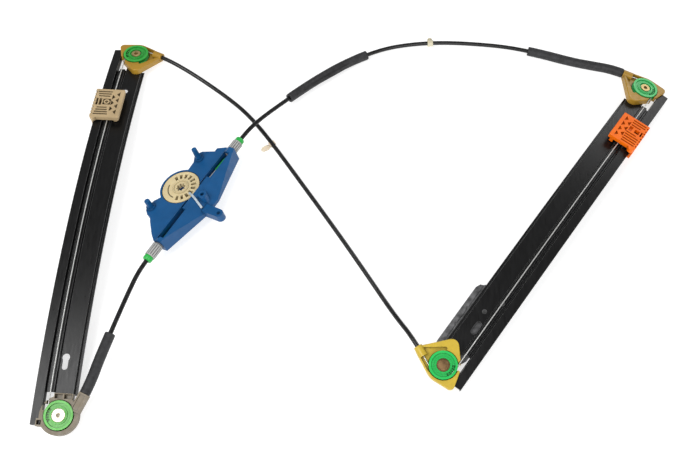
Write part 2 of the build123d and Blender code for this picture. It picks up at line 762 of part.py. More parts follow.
def arm_housing(angle):
    """Housing that wraps the pulley with an arm and takes the conduit in a square socket beside the rail."""
    tip_x, tip_y = exit_point(angle, MOUTH_REACH - CONDUIT_SEAT)
    openings = housing_openings(angle)
    ring = seat_ring()
    with BuildPart() as body:
        with BuildSketch(Plane.XY):
            Circle(HOUSING_RADIUS + WALL)
            with Locations((ARM_BLOCK_ACROSS, -HOUSING_RADIUS)):
                Rectangle(ARM_BLOCK, ARM_LUG)
            with Locations((-HOUSING_RADIUS, ARM_LUG)):
                Rectangle(ARM_LUG, ARM_LUG)
        extrude(amount=HOUSING_HEIGHT)
        with BuildSketch(Plane.XY):
            with Locations(Location((tip_x, tip_y), -angle)):
                Rectangle(2 * CONDUIT_SEAT, 2 * MOUTH_RADIUS)
        extrude(amount=SOCKET_HEIGHT)
        with BuildSketch(Plane.XY.offset(SOCKET_HEIGHT - WALL / 2)):
            with Locations(Location((tip_x, tip_y), -angle)):
                Rectangle(2 * CONDUIT_SEAT - 2 * WALL, 2 * MOUTH_RADIUS - 2 * WALL)
        extrude(amount=WALL, mode=Mode.SUBTRACT)
        with BuildSketch(Plane.XY.offset(POCKET_FLOOR)):
            with GridLocations(ARM_BLOCK / 2, 1, 2, 1):
                with Locations((ARM_BLOCK_ACROSS, -HOUSING_RADIUS - WALL / 2)):
                    Rectangle(ARM_BLOCK / 2 - WALL, ARM_LUG - 2 * WALL)
            with Locations((-HOUSING_RADIUS - WALL / 2, ARM_LUG)):
                Rectangle(ARM_LUG - 2 * WALL, ARM_LUG - 2 * WALL)
        extrude(amount=HOUSING_HEIGHT, mode=Mode.SUBTRACT)
        add(openings, mode=Mode.SUBTRACT)
        add(ring)
    return body.part


def wire_spot(along):
    """Place on the wire over the pattern rail, z along the wire."""
    return rail_spot(PATTERN, along, -PITCH_RADIUS, WIRE_HEIGHT) * Location((0, 0, 0), (90, 0, 0))


def rail_cable(span, top_angle, bottom_angle):
    """Wire along one rail, round both its pulleys and into both conduits, in the pattern frame."""
    arc = rail_arc(span)
    with BuildPart() as body:
        with BuildSketch(Plane(wire_spot(-arc))):
            Circle(WIRE / 2)
        revolve(axis=BEND_AXIS, revolution_arc=2 * degrees(arc / RAIL_RADIUS))
        for way, angle in ((1, top_angle), (-1, bottom_angle)):
            spot = rail_spot(PATTERN, way * arc)
            hub = spot.position
            upright = (spot * Location((0, 0, 1))).position - hub
            with BuildSketch(Plane(wire_spot(way * arc))):
                Circle(WIRE / 2)
            revolve(axis=Axis(hub, upright * -way), revolution_arc=90 + angle)
            x, y = exit_point(angle, 0)
            far_x, far_y = exit_point(angle, MOUTH_REACH - CONDUIT_SEAT)
            leave = (spot * Location((x, way * y, WIRE_HEIGHT))).position
            seat = (spot * Location((far_x, way * far_y, WIRE_HEIGHT))).position
            with BuildSketch(Plane(origin=leave, z_dir=seat - leave)):
                Circle(WIRE / 2)
            extrude(amount=(seat - leave).length)
    return body.part


def drum_plane():
    """Plane on the drum's top face at its axis: y along the cable line, z out of the housing's open front."""
    turn = radians(CABLE_LINE_HEADING)
    lean = radians(HOUSING_LEAN)
    line = Vector(sin(turn), cos(turn), 0)
    normal = Vector(-cos(turn) * sin(lean), sin(turn) * sin(lean), cos(lean))
    return Plane(origin=DRUM_SPOT, x_dir=line.cross(normal), z_dir=normal)


DRUM = drum_plane()
DRUM_BOTTOM = -DRUM_WIDTH - DRUM_LIFT
HOUSING_BOTTOM = DRUM_BOTTOM - PLATE_BELOW
WELL_OUTER = DRUM_RADIUS + DRUM_CLEAR
RING_OUTER = WELL_OUTER + RING_WALL
UPPER_LEVEL = -WRAP_TOP
LOWER_LEVEL = -WRAP_TOP - (WRAP_COUNT - 1) * WRAP_PITCH
CONDUIT_END = FERRULE_LENGTH + CAP_LENGTH - CAP_SEAT


def cable_line(along, way):
    """Plane across the cable line in the drum's frame, facing one end."""
    return Plane(origin=(WRAP_RADIUS, along, FERRULE_LEVEL), z_dir=(0, way, 0))


def housing_top_line():
    """Top of the housing across the cable line: level at the drum, a rib beside the channel, a slope."""
    return [
        (-RING_OUTER, 0),
        (WRAP_RADIUS - CHANNEL_WIDTH, 0),
        (WRAP_RADIUS + CHANNEL_WIDTH / 2, RIB_TOP),
        (RIB_ACROSS, RIB_TOP),
        (RIB_ACROSS + RIB_STEP, RIB_TOP - RIB_STEP),
        (EDGE_ACROSS, EDGE_TOP),
        (LUG_SPOT[0] + LUG_RADIUS, EDGE_TOP),
    ]


def housing_top(across):
    """Height of the housing's top at a place across the cable line."""
    line = housing_top_line()
    for (near, low), (far, high) in zip(line, line[1:]):
        if near <= across <= far:
            return low + (high - low) * (across - near) / (far - near)
    return EDGE_TOP


def housing_outline():
    """Outline of the drum housing seen from its open front."""
    with BuildSketch(Plane.XY.offset(HOUSING_BOTTOM)) as outline:
        Circle(RING_OUTER)
        with BuildLine():
            Polyline(*HOUSING_CORNERS, close=True)
        make_face()
        with BuildLine():
            CenterArc(LUG_SPOT, LUG_RADIUS, 0, 360)
            CenterArc((LUG_SPOT[0] / 2, LUG_SPOT[1]), 2 * LUG_RADIUS, 0, 360)
        make_hull()
    return outline.sketch


def drum_housing():
    """Moulded housing: drum well with a ring wall, cable channel, screw tower, pegs, lug and hollow back."""
    outline = housing_outline()
    lug_edge = LUG_SPOT[0] + LUG_RADIUS
    height = RIB_TOP - HOUSING_BOTTOM
    lean = radians(HOUSING_LEAN)
    foot = -(DRUM_SPOT[2] + sin(lean) * (TOWER_SPOT[0] - TOWER_RADIUS)) / cos(lean)
    with BuildPart() as body:
        extrude(outline, amount=height)
        with BuildSketch(Plane.XZ):
            with BuildLine():
                Polyline(
                    (-RING_OUTER, HOUSING_BOTTOM),
                    *housing_top_line(),
                    (lug_edge, HOUSING_BOTTOM),
                    close=True,
                )
            make_face()
        extrude(amount=UPPER_END - LOWER_END, both=True, mode=Mode.INTERSECT)
        with BuildSketch(Plane.XY.offset(DRUM_BOTTOM)):
            Circle(WELL_OUTER)
        extrude(amount=height, mode=Mode.SUBTRACT)
        with BuildSketch(Plane.XY.offset(LOWER_LEVEL - WIRE)):
            with Locations((WRAP_RADIUS, (UPPER_END + LOWER_END) / 2)):
                Rectangle(CHANNEL_WIDTH, UPPER_END - LOWER_END - 2 * FERRULE_INSERT)
        extrude(amount=height, mode=Mode.SUBTRACT)
        for end, way in ((UPPER_END, 1), (LOWER_END, -1)):
            with BuildSketch(cable_line(end - way * FERRULE_INSERT, way)):
                Circle(FERRULE_RADIUS + SEAT_CLEAR)
            extrude(amount=UPPER_END, mode=Mode.SUBTRACT)
        for pocket in BACK_POCKETS:
            with BuildSketch(Plane.XY.offset(HOUSING_BOTTOM)):
                with BuildLine():
                    Polyline(*pocket, close=True)
                make_face()
            extrude(amount=BACK_DEPTH, mode=Mode.SUBTRACT)
        with BuildSketch(Plane.XY.offset(foot)):
            with Locations(TOWER_SPOT):
                Circle(TOWER_RADIUS)
        extrude(amount=TOWER_HEIGHT - foot)
        with BuildSketch(Plane.XY.offset(HOUSING_BOTTOM)):
            with Locations(*PEG_SPOTS):
                Circle(PEG_RADIUS + WALL)
        extrude(amount=WALL - HOUSING_BOTTOM)
        with BuildSketch(Plane.XY.offset(WALL)):
            with Locations(*PEG_SPOTS):
                Circle(PEG_RADIUS)
        extrude(amount=PEG_LENGTH, taper=PEG_DRAFT)
        with BuildSketch(Plane.XY.offset(foot)):
            with Locations(TOWER_SPOT, LUG_SPOT):
                Circle(SCREW_BORE)
        extrude(amount=TOWER_HEIGHT - foot, mode=Mode.SUBTRACT)
        with BuildSketch(Plane.XY.offset(DRUM_BOTTOM)):
            Circle(SPIGOT_RADIUS)
        extrude(amount=SPIGOT_TOP - DRUM_BOTTOM)
        with BuildSketch(Plane.XY.offset(HOUSING_BOTTOM)):
            Circle(SPIGOT_BORE)
        extrude(amount=SPIGOT_TOP - HOUSING_BOTTOM, mode=Mode.SUBTRACT)
        with BuildSketch(Plane.XY.offset(RIB_TOP)):
            for count in range(RIB_GROOVES):
                across = WRAP_RADIUS + CHANNEL_WIDTH + (count + 1) * RIB_PITCH - RIB_GROOVE
                with Locations(*[(across, along) for along in RIB_GROOVE_MIDDLES]):
                    Rectangle(RIB_GROOVE, RIB_GROOVE_LENGTH)
        extrude(amount=-RIB_STEP, mode=Mode.SUBTRACT)
    return body.part


def cable_drum():
    """Grooved drum with radial pockets in its face, a scroll groove, and a splined drive opening."""
    core = WRAP_RADIUS - WIRE / 2 - RUNNING
    rim = [(DRUM_RADIUS, 0)]
    for turn in range(WRAP_COUNT):
        level = -WRAP_TOP - turn * WRAP_PITCH
        rim += [
            (DRUM_RADIUS, level + WIRE / 2 + WRAP_FLARE),
            (core, level + WIRE / 2 + RUNNING),
            (core, level - WIRE / 2 - RUNNING),
            (DRUM_RADIUS, level - WIRE / 2 - WRAP_FLARE),
        ]
    with BuildPart() as body:
        with BuildSketch(Plane.XZ):
            with BuildLine():
                Polyline(
                    (SPLINE_ROOT, 0),
                    (HUB_FLAT, 0),
                    (HUB_FLAT, HUB_RING),
                    (HUB_FLAT + HUB_RING, HUB_RING),
                    (HUB_FLAT + HUB_RING, 0),
                    *rim,
                    (DRUM_RADIUS, -DRUM_WIDTH),
                    (SPIGOT_RADIUS + RUNNING, -DRUM_WIDTH),
                    (SPIGOT_RADIUS + RUNNING, SPIGOT_TOP + DRUM_LIFT),
                    (SPLINE_ROOT, SPIGOT_TOP + DRUM_LIFT),
                    close=True,
                )
            make_face()
        revolve(axis=Axis.Z)
        with BuildSketch(Plane.XY):
            with PolarLocations(0, SPLINE_TEETH):
                with Locations((SPLINE_ROOT, 0)):
                    Rectangle(2 * SPLINE_DEPTH, SPLINE_WIDTH)
        extrude(amount=-DRUM_WIDTH, mode=Mode.SUBTRACT)
        with BuildSketch(Plane.XY):
            with PolarLocations(POCKET_CIRCLE, POCKET_COUNT, POCKET_START, POCKET_SWEEP):
                Trapezoid(POCKET_WIDTH, POCKET_RADIAL, POCKET_SIDE, rotation=90)
        extrude(amount=-POCKET_DEPTH, mode=Mode.SUBTRACT)
        with BuildSketch(Plane.XY):
            with BuildLine():
                CenterArc((0, 0), POCKET_CIRCLE, SCROLL_START, SCROLL_SWEEP)
                offset(amount=SCROLL_WIDTH / 2)
            make_face()
        extrude(amount=-WALL, mode=Mode.SUBTRACT)
    return body.part


def wire_turns():
    """Turns of wire in the drum's grooves, in the drum's frame."""
    with BuildPart() as body:
        with BuildSketch(Plane.XZ):
            for turn in range(WRAP_COUNT):
                with Locations((WRAP_RADIUS, -WRAP_TOP - turn * WRAP_PITCH)):
                    Circle(WIRE / 2)
        revolve(axis=Axis.Z)
    return body.part


def channel_line(level, end, way):
    """Ends of the slanting wire between the drum and a ferrule."""
    near = Vector(WRAP_RADIUS, way * CABLE_START, level)
    far = Vector(WRAP_RADIUS, end - way * FERRULE_INSERT, FERRULE_LEVEL)
    return near, far


def drum_cable(level, end, way):
    """Straight wire from beside the drum, down the channel and through the ferrule to the conduit."""
    near, far = channel_line(level, end, way)
    with BuildPart() as body:
        with BuildSketch(Plane(origin=near, z_dir=far - near)):
            Circle(WIRE / 2)
        extrude(amount=(far - near).length)
        with BuildSketch(cable_line(end - way * FERRULE_INSERT, way)):
            Circle(WIRE / 2)
        extrude(amount=FERRULE_INSERT + CONDUIT_END)
    return body.part


def cable_sleeve(level, end, way, reach):
    """Thin guide tube round the wire in the channel."""
    near, far = channel_line(level, end, way)
    lead = (far - near).normalized()
    with BuildPart() as body:
        with BuildSketch(Plane(origin=near + lead * (abs(reach[0]) - CABLE_START), z_dir=lead)):
            Circle(SLEEVE_RADIUS)
            Circle(SLEEVE_BORE, mode=Mode.SUBTRACT)
        extrude(amount=abs(reach[1] - reach[0]))
    return body.part


def ferrule(end, way):
    """Fluted ferrule standing out of the housing's end."""
    with BuildPart() as body:
        with BuildSketch(cable_line(end - way * FERRULE_INSERT, way)):
            Circle(FERRULE_RADIUS)
            Circle(FERRULE_BORE, mode=Mode.SUBTRACT)
        extrude(amount=FERRULE_INSERT + FERRULE_LENGTH)
        with BuildSketch(cable_line(end + way * FLUTE_START, way)):
            with PolarLocations(FERRULE_RADIUS, FERRULE_FLUTES):
                Circle(FLUTE_RADIUS)
        extrude(amount=FERRULE_LENGTH - 2 * FLUTE_START, mode=Mode.SUBTRACT)
    return body.part


def ferrule_cap(end, way):
    """Tapered cap that takes the conduit at the ferrule's outer end."""
    with BuildPart() as body:
        with BuildSketch(cable_line(end + way * FERRULE_LENGTH, way)):
            Circle(CAP_RADIUS)
        extrude(amount=CAP_LENGTH, taper=CAP_DRAFT)
        with BuildSketch(cable_line(end + way * FERRULE_LENGTH, way)):
            Circle(FERRULE_BORE)
        extrude(amount=CAP_LENGTH, mode=Mode.SUBTRACT)
        with BuildSketch(cable_line(end + way * CONDUIT_END, way)):
            Circle(CONDUIT / 2 + SEAT_CLEAR)
        extrude(amount=CAP_SEAT, mode=Mode.SUBTRACT)
    return body.part


def drum_strap():
    """Transport strap over the drum's rim and the channel's rib, down the slope."""
    lead = Vector(STRAP_TO[0] - STRAP_FROM[0], STRAP_TO[1] - STRAP_FROM[1], 0)
    side = Plane(origin=(STRAP_FROM[0], STRAP_FROM[1], 0), x_dir=lead, z_dir=lead.cross(Vector(0, 0, 1)))
    stretch = lead.length / lead.X
    stops = [STRAP_FROM[0]]
    stops += [x for x, _ in housing_top_line() if STRAP_FROM[0] < x < STRAP_TO[0]]
    stops += [STRAP_TO[0]]
    under = [((x - STRAP_FROM[0]) * stretch, housing_top(x) + STRAP_CLEAR) for x in stops]
    over = [(x, z + STRAP_THICK) for x, z in reversed(under)]
    with BuildPart() as body:
        with BuildSketch(side):
            with BuildLine():
                Polyline(*under, *over, close=True)
            make_face()
        extrude(amount=STRAP_WIDTH / 2, both=True)
    return body.part


def slider(place, holes, bosses):
    """Ribbed slider at its rest place: plate, hook round the lip, guide foot and nipple cradle."""
    middle = -(SLIDER_OUTER + SLIDER_INNER) / 2
    width = SLIDER_OUTER - SLIDER_INNER
    under = WIRE_HEIGHT + WIRE / 2 + GLIDE
    hook_top = -LIP_DROP - 2 * GLIDE
    top = under + SLIDER_HEIGHT
    with BuildPart() as body:
        with BuildSketch(web_plane(place, 0, under)):
            with Locations((middle, 0)):
                RectangleRounded(width, SLIDER_LENGTH, SLIDER_CORNER)
            with Locations((LUG_CORNER, -SLIDER_LENGTH / 2)):
                Circle(LUG_CORNER_RADIUS)
        extrude(amount=SLIDER_HEIGHT)
        for across, along, wide, tall in holes:
            with BuildSketch(web_plane(place, 0, under + PLATE)):
                with Locations((across, along)):
                    Rectangle(wide, tall)
            extrude(amount=SLIDER_HEIGHT, mode=Mode.SUBTRACT)
        for across, along, wide, tall in bosses:
            with BuildSketch(web_plane(place, 0, under)):
                with Locations((across, along)):
                    Rectangle(wide, tall)
            extrude(amount=SLIDER_HEIGHT, mode=Mode.SUBTRACT)
        for along in GUSSET_ROWS:
            with BuildSketch(web_plane(place, 0, under + PLATE)):
                with Locations((GUSSET_ACROSS, along)):
                    Triangle(a=GUSSET_TALL, B=45, C=45, rotation=90)
            extrude(amount=SLIDER_HEIGHT, mode=Mode.SUBTRACT)
        with BuildSketch(web_plane(place, 0, under + PLATE)):
            with Locations((-SLIDER_OUTER, 0)):
                with GridLocations(1, COMB_PITCH, 1, COMB_COUNT):
                    Rectangle(2 * COMB_DEPTH, COMB_WIDTH)
        extrude(amount=SLIDER_HEIGHT, mode=Mode.SUBTRACT)
        with BuildSketch(web_plane(place, 0, hook_top - HOOK_THICK)):
            skirt = SLIDER_OUTER - BAND_OUTER - GLIDE
            with Locations((-SLIDER_OUTER + skirt / 2, 0)):
                Rectangle(skirt, GUIDE_LENGTH)
        extrude(amount=under - hook_top + HOOK_THICK)
        with BuildSketch(web_plane(place, 0, hook_top - HOOK_THICK)):
            with Locations((-BAND_OUTER - GLIDE + HOOK_REACH / 2, 0)):
                Rectangle(HOOK_REACH, GUIDE_LENGTH)
        extrude(amount=HOOK_THICK)
        with BuildSketch(web_plane(place, 0, RIVET_CLEAR)):
            with Locations((-GUIDE_FOOT_INNER - GUIDE_FOOT_WIDTH / 2, 0)):
                Rectangle(GUIDE_FOOT_WIDTH, GUIDE_LENGTH)
        extrude(amount=under - RIVET_CLEAR)
        with BuildSketch(web_plane(place, 0, RIDGE_HEIGHT + RIVET_CLEAR)):
            with Locations((-PITCH_RADIUS, 0)):
                Rectangle(CRADLE_WIDTH, CRADLE_LENGTH)
                Rectangle(2 * WIRE, CRADLE_LENGTH, mode=Mode.SUBTRACT)
                Rectangle(2 * NIPPLE_RADIUS, NIPPLE_LENGTH, mode=Mode.SUBTRACT)
        extrude(amount=under - RIDGE_HEIGHT - RIVET_CLEAR)
        with BuildSketch(Plane(wire_spot(place))):
            Circle(NIPPLE_RADIUS + NIPPLE_CLEAR)
        extrude(amount=NIPPLE_LENGTH / 2 + NIPPLE_CLEAR, both=True, mode=Mode.SUBTRACT)
    return body.part


def nipple(place):
    """Cable nipple in its slider's cradle, clear of the wire that it rides along."""
    with BuildPart() as body:
        with BuildSketch(Plane(wire_spot(place))):
            Circle(NIPPLE_RADIUS)
            Circle(WIRE / 2 + 2 * RUNNING, mode=Mode.SUBTRACT)
        extrude(amount=NIPPLE_LENGTH / 2, both=True)
    return body.part


def rail_gland(end):
    """Seat of a conduit in its pulley housing and the direction in which it leaves."""
    angle = ENDS[end][4]
    x, y = exit_point(angle, MOUTH_REACH - CONDUIT_SEAT)
    mouth_x, mouth_y = exit_point(angle, MOUTH_REACH)
    seat = end_place(end, x, y, WIRE_HEIGHT)
    return seat, (end_place(end, mouth_x, mouth_y, WIRE_HEIGHT) - seat).normalized()


def drum_gland(end, way):
    """Seat of a conduit in its ferrule cap and the direction in which it leaves."""
    seat = DRUM.location * Location((WRAP_RADIUS, end + way * CONDUIT_END, FERRULE_LEVEL))
    ahead = DRUM.location * Location((WRAP_RADIUS, end + way * (CONDUIT_END + 1), FERRULE_LEVEL))
    return seat.position, ahead.position - seat.position


def route(start, start_lead, between, finish_lead, finish):
    """Corners of a conduit from gland to gland."""
    first, first_way = start
    last, last_way = finish
    inner = [Vector(*point) for point in between]
    return [first, first + first_way * start_lead, *inner, last + last_way * finish_lead, last]


def bends(corners):
    """Bend radius at each inner corner, as large as its two runs allow."""
    radii = []
    for before, corner, after in zip(corners, corners[1:], corners[2:]):
        run = min((corner - before).length, (after - corner).length)
        turn = (corner - before).get_angle(after - corner)
        radii.append(BEND_SHARE * run / tan(radians(turn / 2)))
    return radii


def tube(corners, radii, outer, inner):
    """Round tube along straight runs joined by tangent arcs."""
    with BuildPart() as body:
        with BuildLine() as line:
            FilletPolyline(*corners, radius=radii)
        with BuildSketch(Plane(origin=corners[0], z_dir=corners[1] - corners[0])):
            Circle(outer)
            if inner:
                Circle(inner, mode=Mode.SUBTRACT)
        sweep(path=line.wire())
    return body.part, line.wire().length


def foam_sleeve(corners, first_run, last_run, near, far):
    """Foam sleeve on a conduit, from a place on one run to a place on a later run."""
    radii = bends(corners)[first_run:last_run]
    start = corners[first_run] + (corners[first_run + 1] - corners[first_run]).normalized() * near
    stop = corners[last_run] + (corners[last_run + 1] - corners[last_run]).normalized() * far
    inside = corners[first_run + 1:last_run + 1]
    return tube([start, *inside, stop], radii, FOAM / 2, CONDUIT / 2 + FOAM_CLEAR)


def half_run(corners, run):
    """Half the length of one run."""
    return (corners[run + 1] - corners[run]).length / 2


def clip_plane(corners, run, side):
    """Plane across a conduit in the middle of a run: x level to one side of the run, y up."""
    ahead = (corners[run + 1] - corners[run]) * side
    middle = (corners[run + 1] + corners[run]) / 2
    return Plane(origin=middle, x_dir=ahead.cross(Vector(0, 0, 1)), z_dir=-ahead)


def ring_clip():
    """Closed ring round a conduit with a headed stud on one side."""
    with BuildPart() as body:
        with BuildSketch(Plane.XY.offset(-RING_CLIP_LENGTH / 2)):
            Circle(RING_CLIP_RADIUS)
        extrude(amount=RING_CLIP_LENGTH)
        with BuildSketch(Plane.YZ):
            Circle(STUD_RADIUS)
        extrude(amount=STUD_REACH)
        with BuildSketch(Plane.YZ.offset(STUD_REACH - STUD_HEAD_THICK)):
            Circle(STUD_HEAD)
        extrude(amount=STUD_HEAD_THICK)
        with BuildSketch(Plane.XY.offset(-RING_CLIP_LENGTH)):
            Circle(CONDUIT / 2 + CLIP_CLEAR)
        extrude(amount=2 * RING_CLIP_LENGTH, mode=Mode.SUBTRACT)
    return body.part


def edge_clip():
    """Clip open at the top under a conduit, with a flat tongue on one side."""
    with BuildPart() as body:
        with BuildSketch(Plane.XY.offset(-EDGE_CLIP_LENGTH / 2)):
            Circle(EDGE_CLIP_RADIUS)
            with Locations((0, EDGE_CLIP_OPEN + EDGE_CLIP_RADIUS / 2)):
                Rectangle(2 * EDGE_CLIP_RADIUS, EDGE_CLIP_RADIUS, mode=Mode.SUBTRACT)
        extrude(amount=EDGE_CLIP_LENGTH)
        with BuildSketch(Plane.XZ.offset(EDGE_CLIP_RADIUS)):
            with Locations((TONGUE_MIDDLE, 0)):
                Ellipse(TONGUE_HALF_LENGTH, TONGUE_HALF_WIDTH)
            with Locations(TONGUE_HOLE_SPOT):
                Circle(TONGUE_HOLE, mode=Mode.SUBTRACT)
        extrude(amount=-TONGUE_THICK)
        with BuildSketch(Plane.XY.offset(-EDGE_CLIP_LENGTH)):
            Circle(CONDUIT / 2 + CLIP_CLEAR)
        extrude(amount=2 * EDGE_CLIP_LENGTH, mode=Mode.SUBTRACT)
    return body.part


# Rails, their holes and the bracket
write(LEFT.location * rail(LEFT_SPAN, left_holes()), "left_rail")
write(RIGHT.location * flip(rail(RIGHT_SPAN, right_holes()), True), "right_rail")
write(RIGHT.location * flip(bracket(), True), "right_rail_bracket")
clinches = [RIGHT.location * flip(clinch(across, along), True) for across, along in CLINCH_SPOTS]
write(Compound(children=clinches), "bracket_clinch_rivets")

# Pulleys, housings and rivets at the four ends
RIVETS = {
    "left_top": rivet(6.4, RIVET_BORE),
    "left_bottom": rivet(8.0, RIVET_BORE),
    "right_top": rivet(6.4, RIVET_BORE),
    "right_bottom": closed_rivet(8.0),
}
for end, (_, _, _, _, exit_angle) in ENDS.items():
    housing = arm_housing(exit_angle) if end == "left_bottom" else drop_housing(exit_angle)
    write(seat_on_end(housing, end), f"{end}_pulley_housing")
    write(seat_on_end(pulley(), end), f"{end}_pulley")
    write(seat_on_end(RIVETS[end], end), f"{end}_pulley_rivet")

# Wires along the rails
left_cable = rail_cable(LEFT_SPAN, ENDS["left_top"][4], ENDS["left_bottom"][4])
write(LEFT.location * left_cable, "left_rail_cable")
right_cable = rail_cable(RIGHT_SPAN, ENDS["right_top"][4], ENDS["right_bottom"][4])
write(RIGHT.location * flip(right_cable, True), "right_rail_cable")


# Sliders and their nipples
left_place = rail_arc(LEFT_SPAN) - LEFT_SLIDER_DROP
right_place = rail_arc(RIGHT_SPAN) - RIGHT_SLIDER_DROP
write(LEFT.location * slider(left_place, LEFT_POCKETS, LEFT_WINDOWS), "left_slider")
write(RIGHT.location * flip(slider(right_place, RIGHT_POCKETS, RIGHT_WINDOWS), True), "right_slider")
write(LEFT.location * nipple(left_place), "left_cable_nipple")
write(RIGHT.location * flip(nipple(right_place), True), "right_cable_nipple")

# Drum housing and what it carries
write(DRUM.location * drum_housing(), "drum_housing")
write(DRUM.location * cable_drum(), "cable_drum")
write(DRUM.location * wire_turns(), "drum_wire_turns")
write(DRUM.location * drum_strap(), "drum_transport_strap")
for name, level, end, way, reach in (
    ("upper", UPPER_LEVEL, UPPER_END, 1, UPPER_SLEEVE),
    ("lower", LOWER_LEVEL, LOWER_END, -1, LOWER_SLEEVE),
):
    write(DRUM.location * drum_cable(level, end, way), f"{name}_drum_cable")
    write(DRUM.location * cable_sleeve(level, end, way, reach), f"{name}_cable_sleeve")
    write(DRUM.location * ferrule(end, way), f"{name}_ferrule")
    write(DRUM.location * ferrule_cap(end, way), f"{name}_ferrule_cap")

# Conduits with their foam sleeves and clips
upper_route = route(
    drum_gland(UPPER_END, 1), UPPER_LEAD, TO_RIGHT_TOP, RIGHT_TOP_LEAD, rail_gland("right_top")
)
cross_route = route(
    rail_gland("left_top"), LEFT_TOP_LEAD, TO_RIGHT_BOTTOM, RIGHT_BOTTOM_LEAD, rail_gland("right_bottom")
)
lower_route = route(
    drum_gland(LOWER_END, -1), LOWER_LEAD, TO_LEFT_BOTTOM, LEFT_BOTTOM_LEAD, rail_gland("left_bottom")
)
for name, corners in (
    ("drum_to_right_top_conduit", upper_route),
    ("left_top_to_right_bottom_conduit", cross_route),
    ("drum_to_left_bottom_conduit", lower_route),
):
    radii = bends(corners)
    conduit, length = tube(corners, radii, CONDUIT / 2, 0)
    write(conduit, name)
    share = conduit.volume / (length * Circle(CONDUIT / 2).area)
    print(name, "length", round(length, 1), "volume share", round(share, 4))
    print("  radii", [round(radius) for radius in radii])
    print("  corners", [tuple(round(value, 1) for value in corner) for corner in corners])

upper_stop = RIGHT_TOP_LEAD - CONDUIT_SEAT - FOAM_GAP
lower_stop = LEFT_BOTTOM_LEAD - CONDUIT_SEAT - FOAM_GAP
for name, corners, first_run, last_run, near, far in (
    ("drum_side_foam_sleeve", upper_route, 3, 6, half_run(upper_route, 3), half_run(upper_route, 6)),
    ("right_top_foam_sleeve", upper_route, 11, 15, half_run(upper_route, 11), upper_stop),
    ("left_bottom_foam_sleeve", lower_route, 3, 5, half_run(lower_route, 3) / 2, lower_stop),
):
    sleeve, length = foam_sleeve(corners, first_run, last_run, near, far)
    write(sleeve, name)
    print(name, "length", round(length, 1))
write(clip_plane(upper_route, RING_CLIP_RUN, -1).location * ring_clip(), "conduit_ring_clip")
write(clip_plane(cross_route, EDGE_CLIP_RUN, 1).location * edge_clip(), "conduit_edge_clip")
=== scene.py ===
"""Looks of the dual rail window regulator: camera, light, cords, foam sleeves, ferrules, moulded
sliders and drum housing, transport strap, and the finish of every surface."""
import math

import bmesh
import bpy
from mathutils import Matrix, Vector, noise


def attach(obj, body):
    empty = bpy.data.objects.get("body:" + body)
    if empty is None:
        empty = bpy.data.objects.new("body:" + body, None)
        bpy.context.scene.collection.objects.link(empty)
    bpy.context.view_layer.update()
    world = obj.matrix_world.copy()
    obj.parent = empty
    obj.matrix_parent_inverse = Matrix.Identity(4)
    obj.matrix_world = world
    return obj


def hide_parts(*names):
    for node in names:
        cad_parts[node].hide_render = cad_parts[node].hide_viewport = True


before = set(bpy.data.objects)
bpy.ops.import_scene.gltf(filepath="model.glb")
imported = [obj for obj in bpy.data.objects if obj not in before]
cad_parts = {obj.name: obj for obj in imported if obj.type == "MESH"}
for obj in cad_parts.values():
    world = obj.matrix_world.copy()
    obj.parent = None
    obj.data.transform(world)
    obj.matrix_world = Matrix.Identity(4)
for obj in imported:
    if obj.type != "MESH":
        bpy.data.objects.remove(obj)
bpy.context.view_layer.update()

MM = 0.001
UP = Vector((0, 0, 1))
ROOT = "regulator_frame"

# Camera, in millimetres and in the picture's own pixels
PICTURE_WIDTH = 700
FOCAL_PIXELS = 941.7
SENSOR = 36.0
CLIP_END = 100.0
CAMERA_SPOT = (-37.0, -616.4, 1122.2)
CAMERA_TARGET = (-37.0, -15.4, 0.0)

# Light, in metres and watts: name, place, side and power of each soft box
WHITE = (1.0, 1.0, 1.0, 1.0)
SKY_STRENGTH = 0.34
SOFT_BOXES = (
    ("key_box", (-1.0, -0.5, 1.7), 1.1, 24.0),
    ("front_box", (0.6, -1.7, 1.6), 1.6, 24.0),
    ("back_box", (1.3, 1.6, 1.1), 1.0, 9.0),
)
FLOOR_COLOUR = (0.55, 0.55, 0.55)
FLOOR_MOTTLE = 0.01
FLOOR_GLOW = 0.68
FLOOR_SIZE = 12.0

# Shading: samples of the nodes that look around a point, the colour sockets of a mix node, how far
# light of each colour goes into plastic, the colours of dust, wear, conduit and foam, the wear and
# painted highlight at the rails' edges, the painted shade and highlight of the wire strands, and the
# painted shade in the foam's pits
SHADER_SAMPLES = 4
MIX_FIRST = 6
MIX_SECOND = 7
MIX_RESULT = 2
GLOW_REACH = (0.0012, 0.0009, 0.0006)
RAIL_PAINT = (0.0036, 0.0036, 0.0038)
DUST = (0.030, 0.030, 0.032, 1.0)
EDGE_WEAR_AND_HIGHLIGHT = (0.20, 0.20, 0.20, 1.0)
STRAND_GROOVE_SHADE = (0.34, 0.34, 0.33, 1.0)
STRAND_CROWN_HIGHLIGHT = (0.88, 0.88, 0.86, 1.0)
CONDUIT_BLACK = (0.0040, 0.0041, 0.0042, 1.0)
CONDUIT_SCUFF = (0.014, 0.014, 0.015, 1.0)
FOAM_DARK = (0.010, 0.010, 0.011, 1.0)
FOAM_WORN = (0.033, 0.033, 0.036, 1.0)
FOAM_PIT_SHADE = (0.005, 0.005, 0.005, 1.0)

# Angles in degrees from which an edge stays sharp
TURNED_SHARP = 35
MOULDED_SHARP = 30
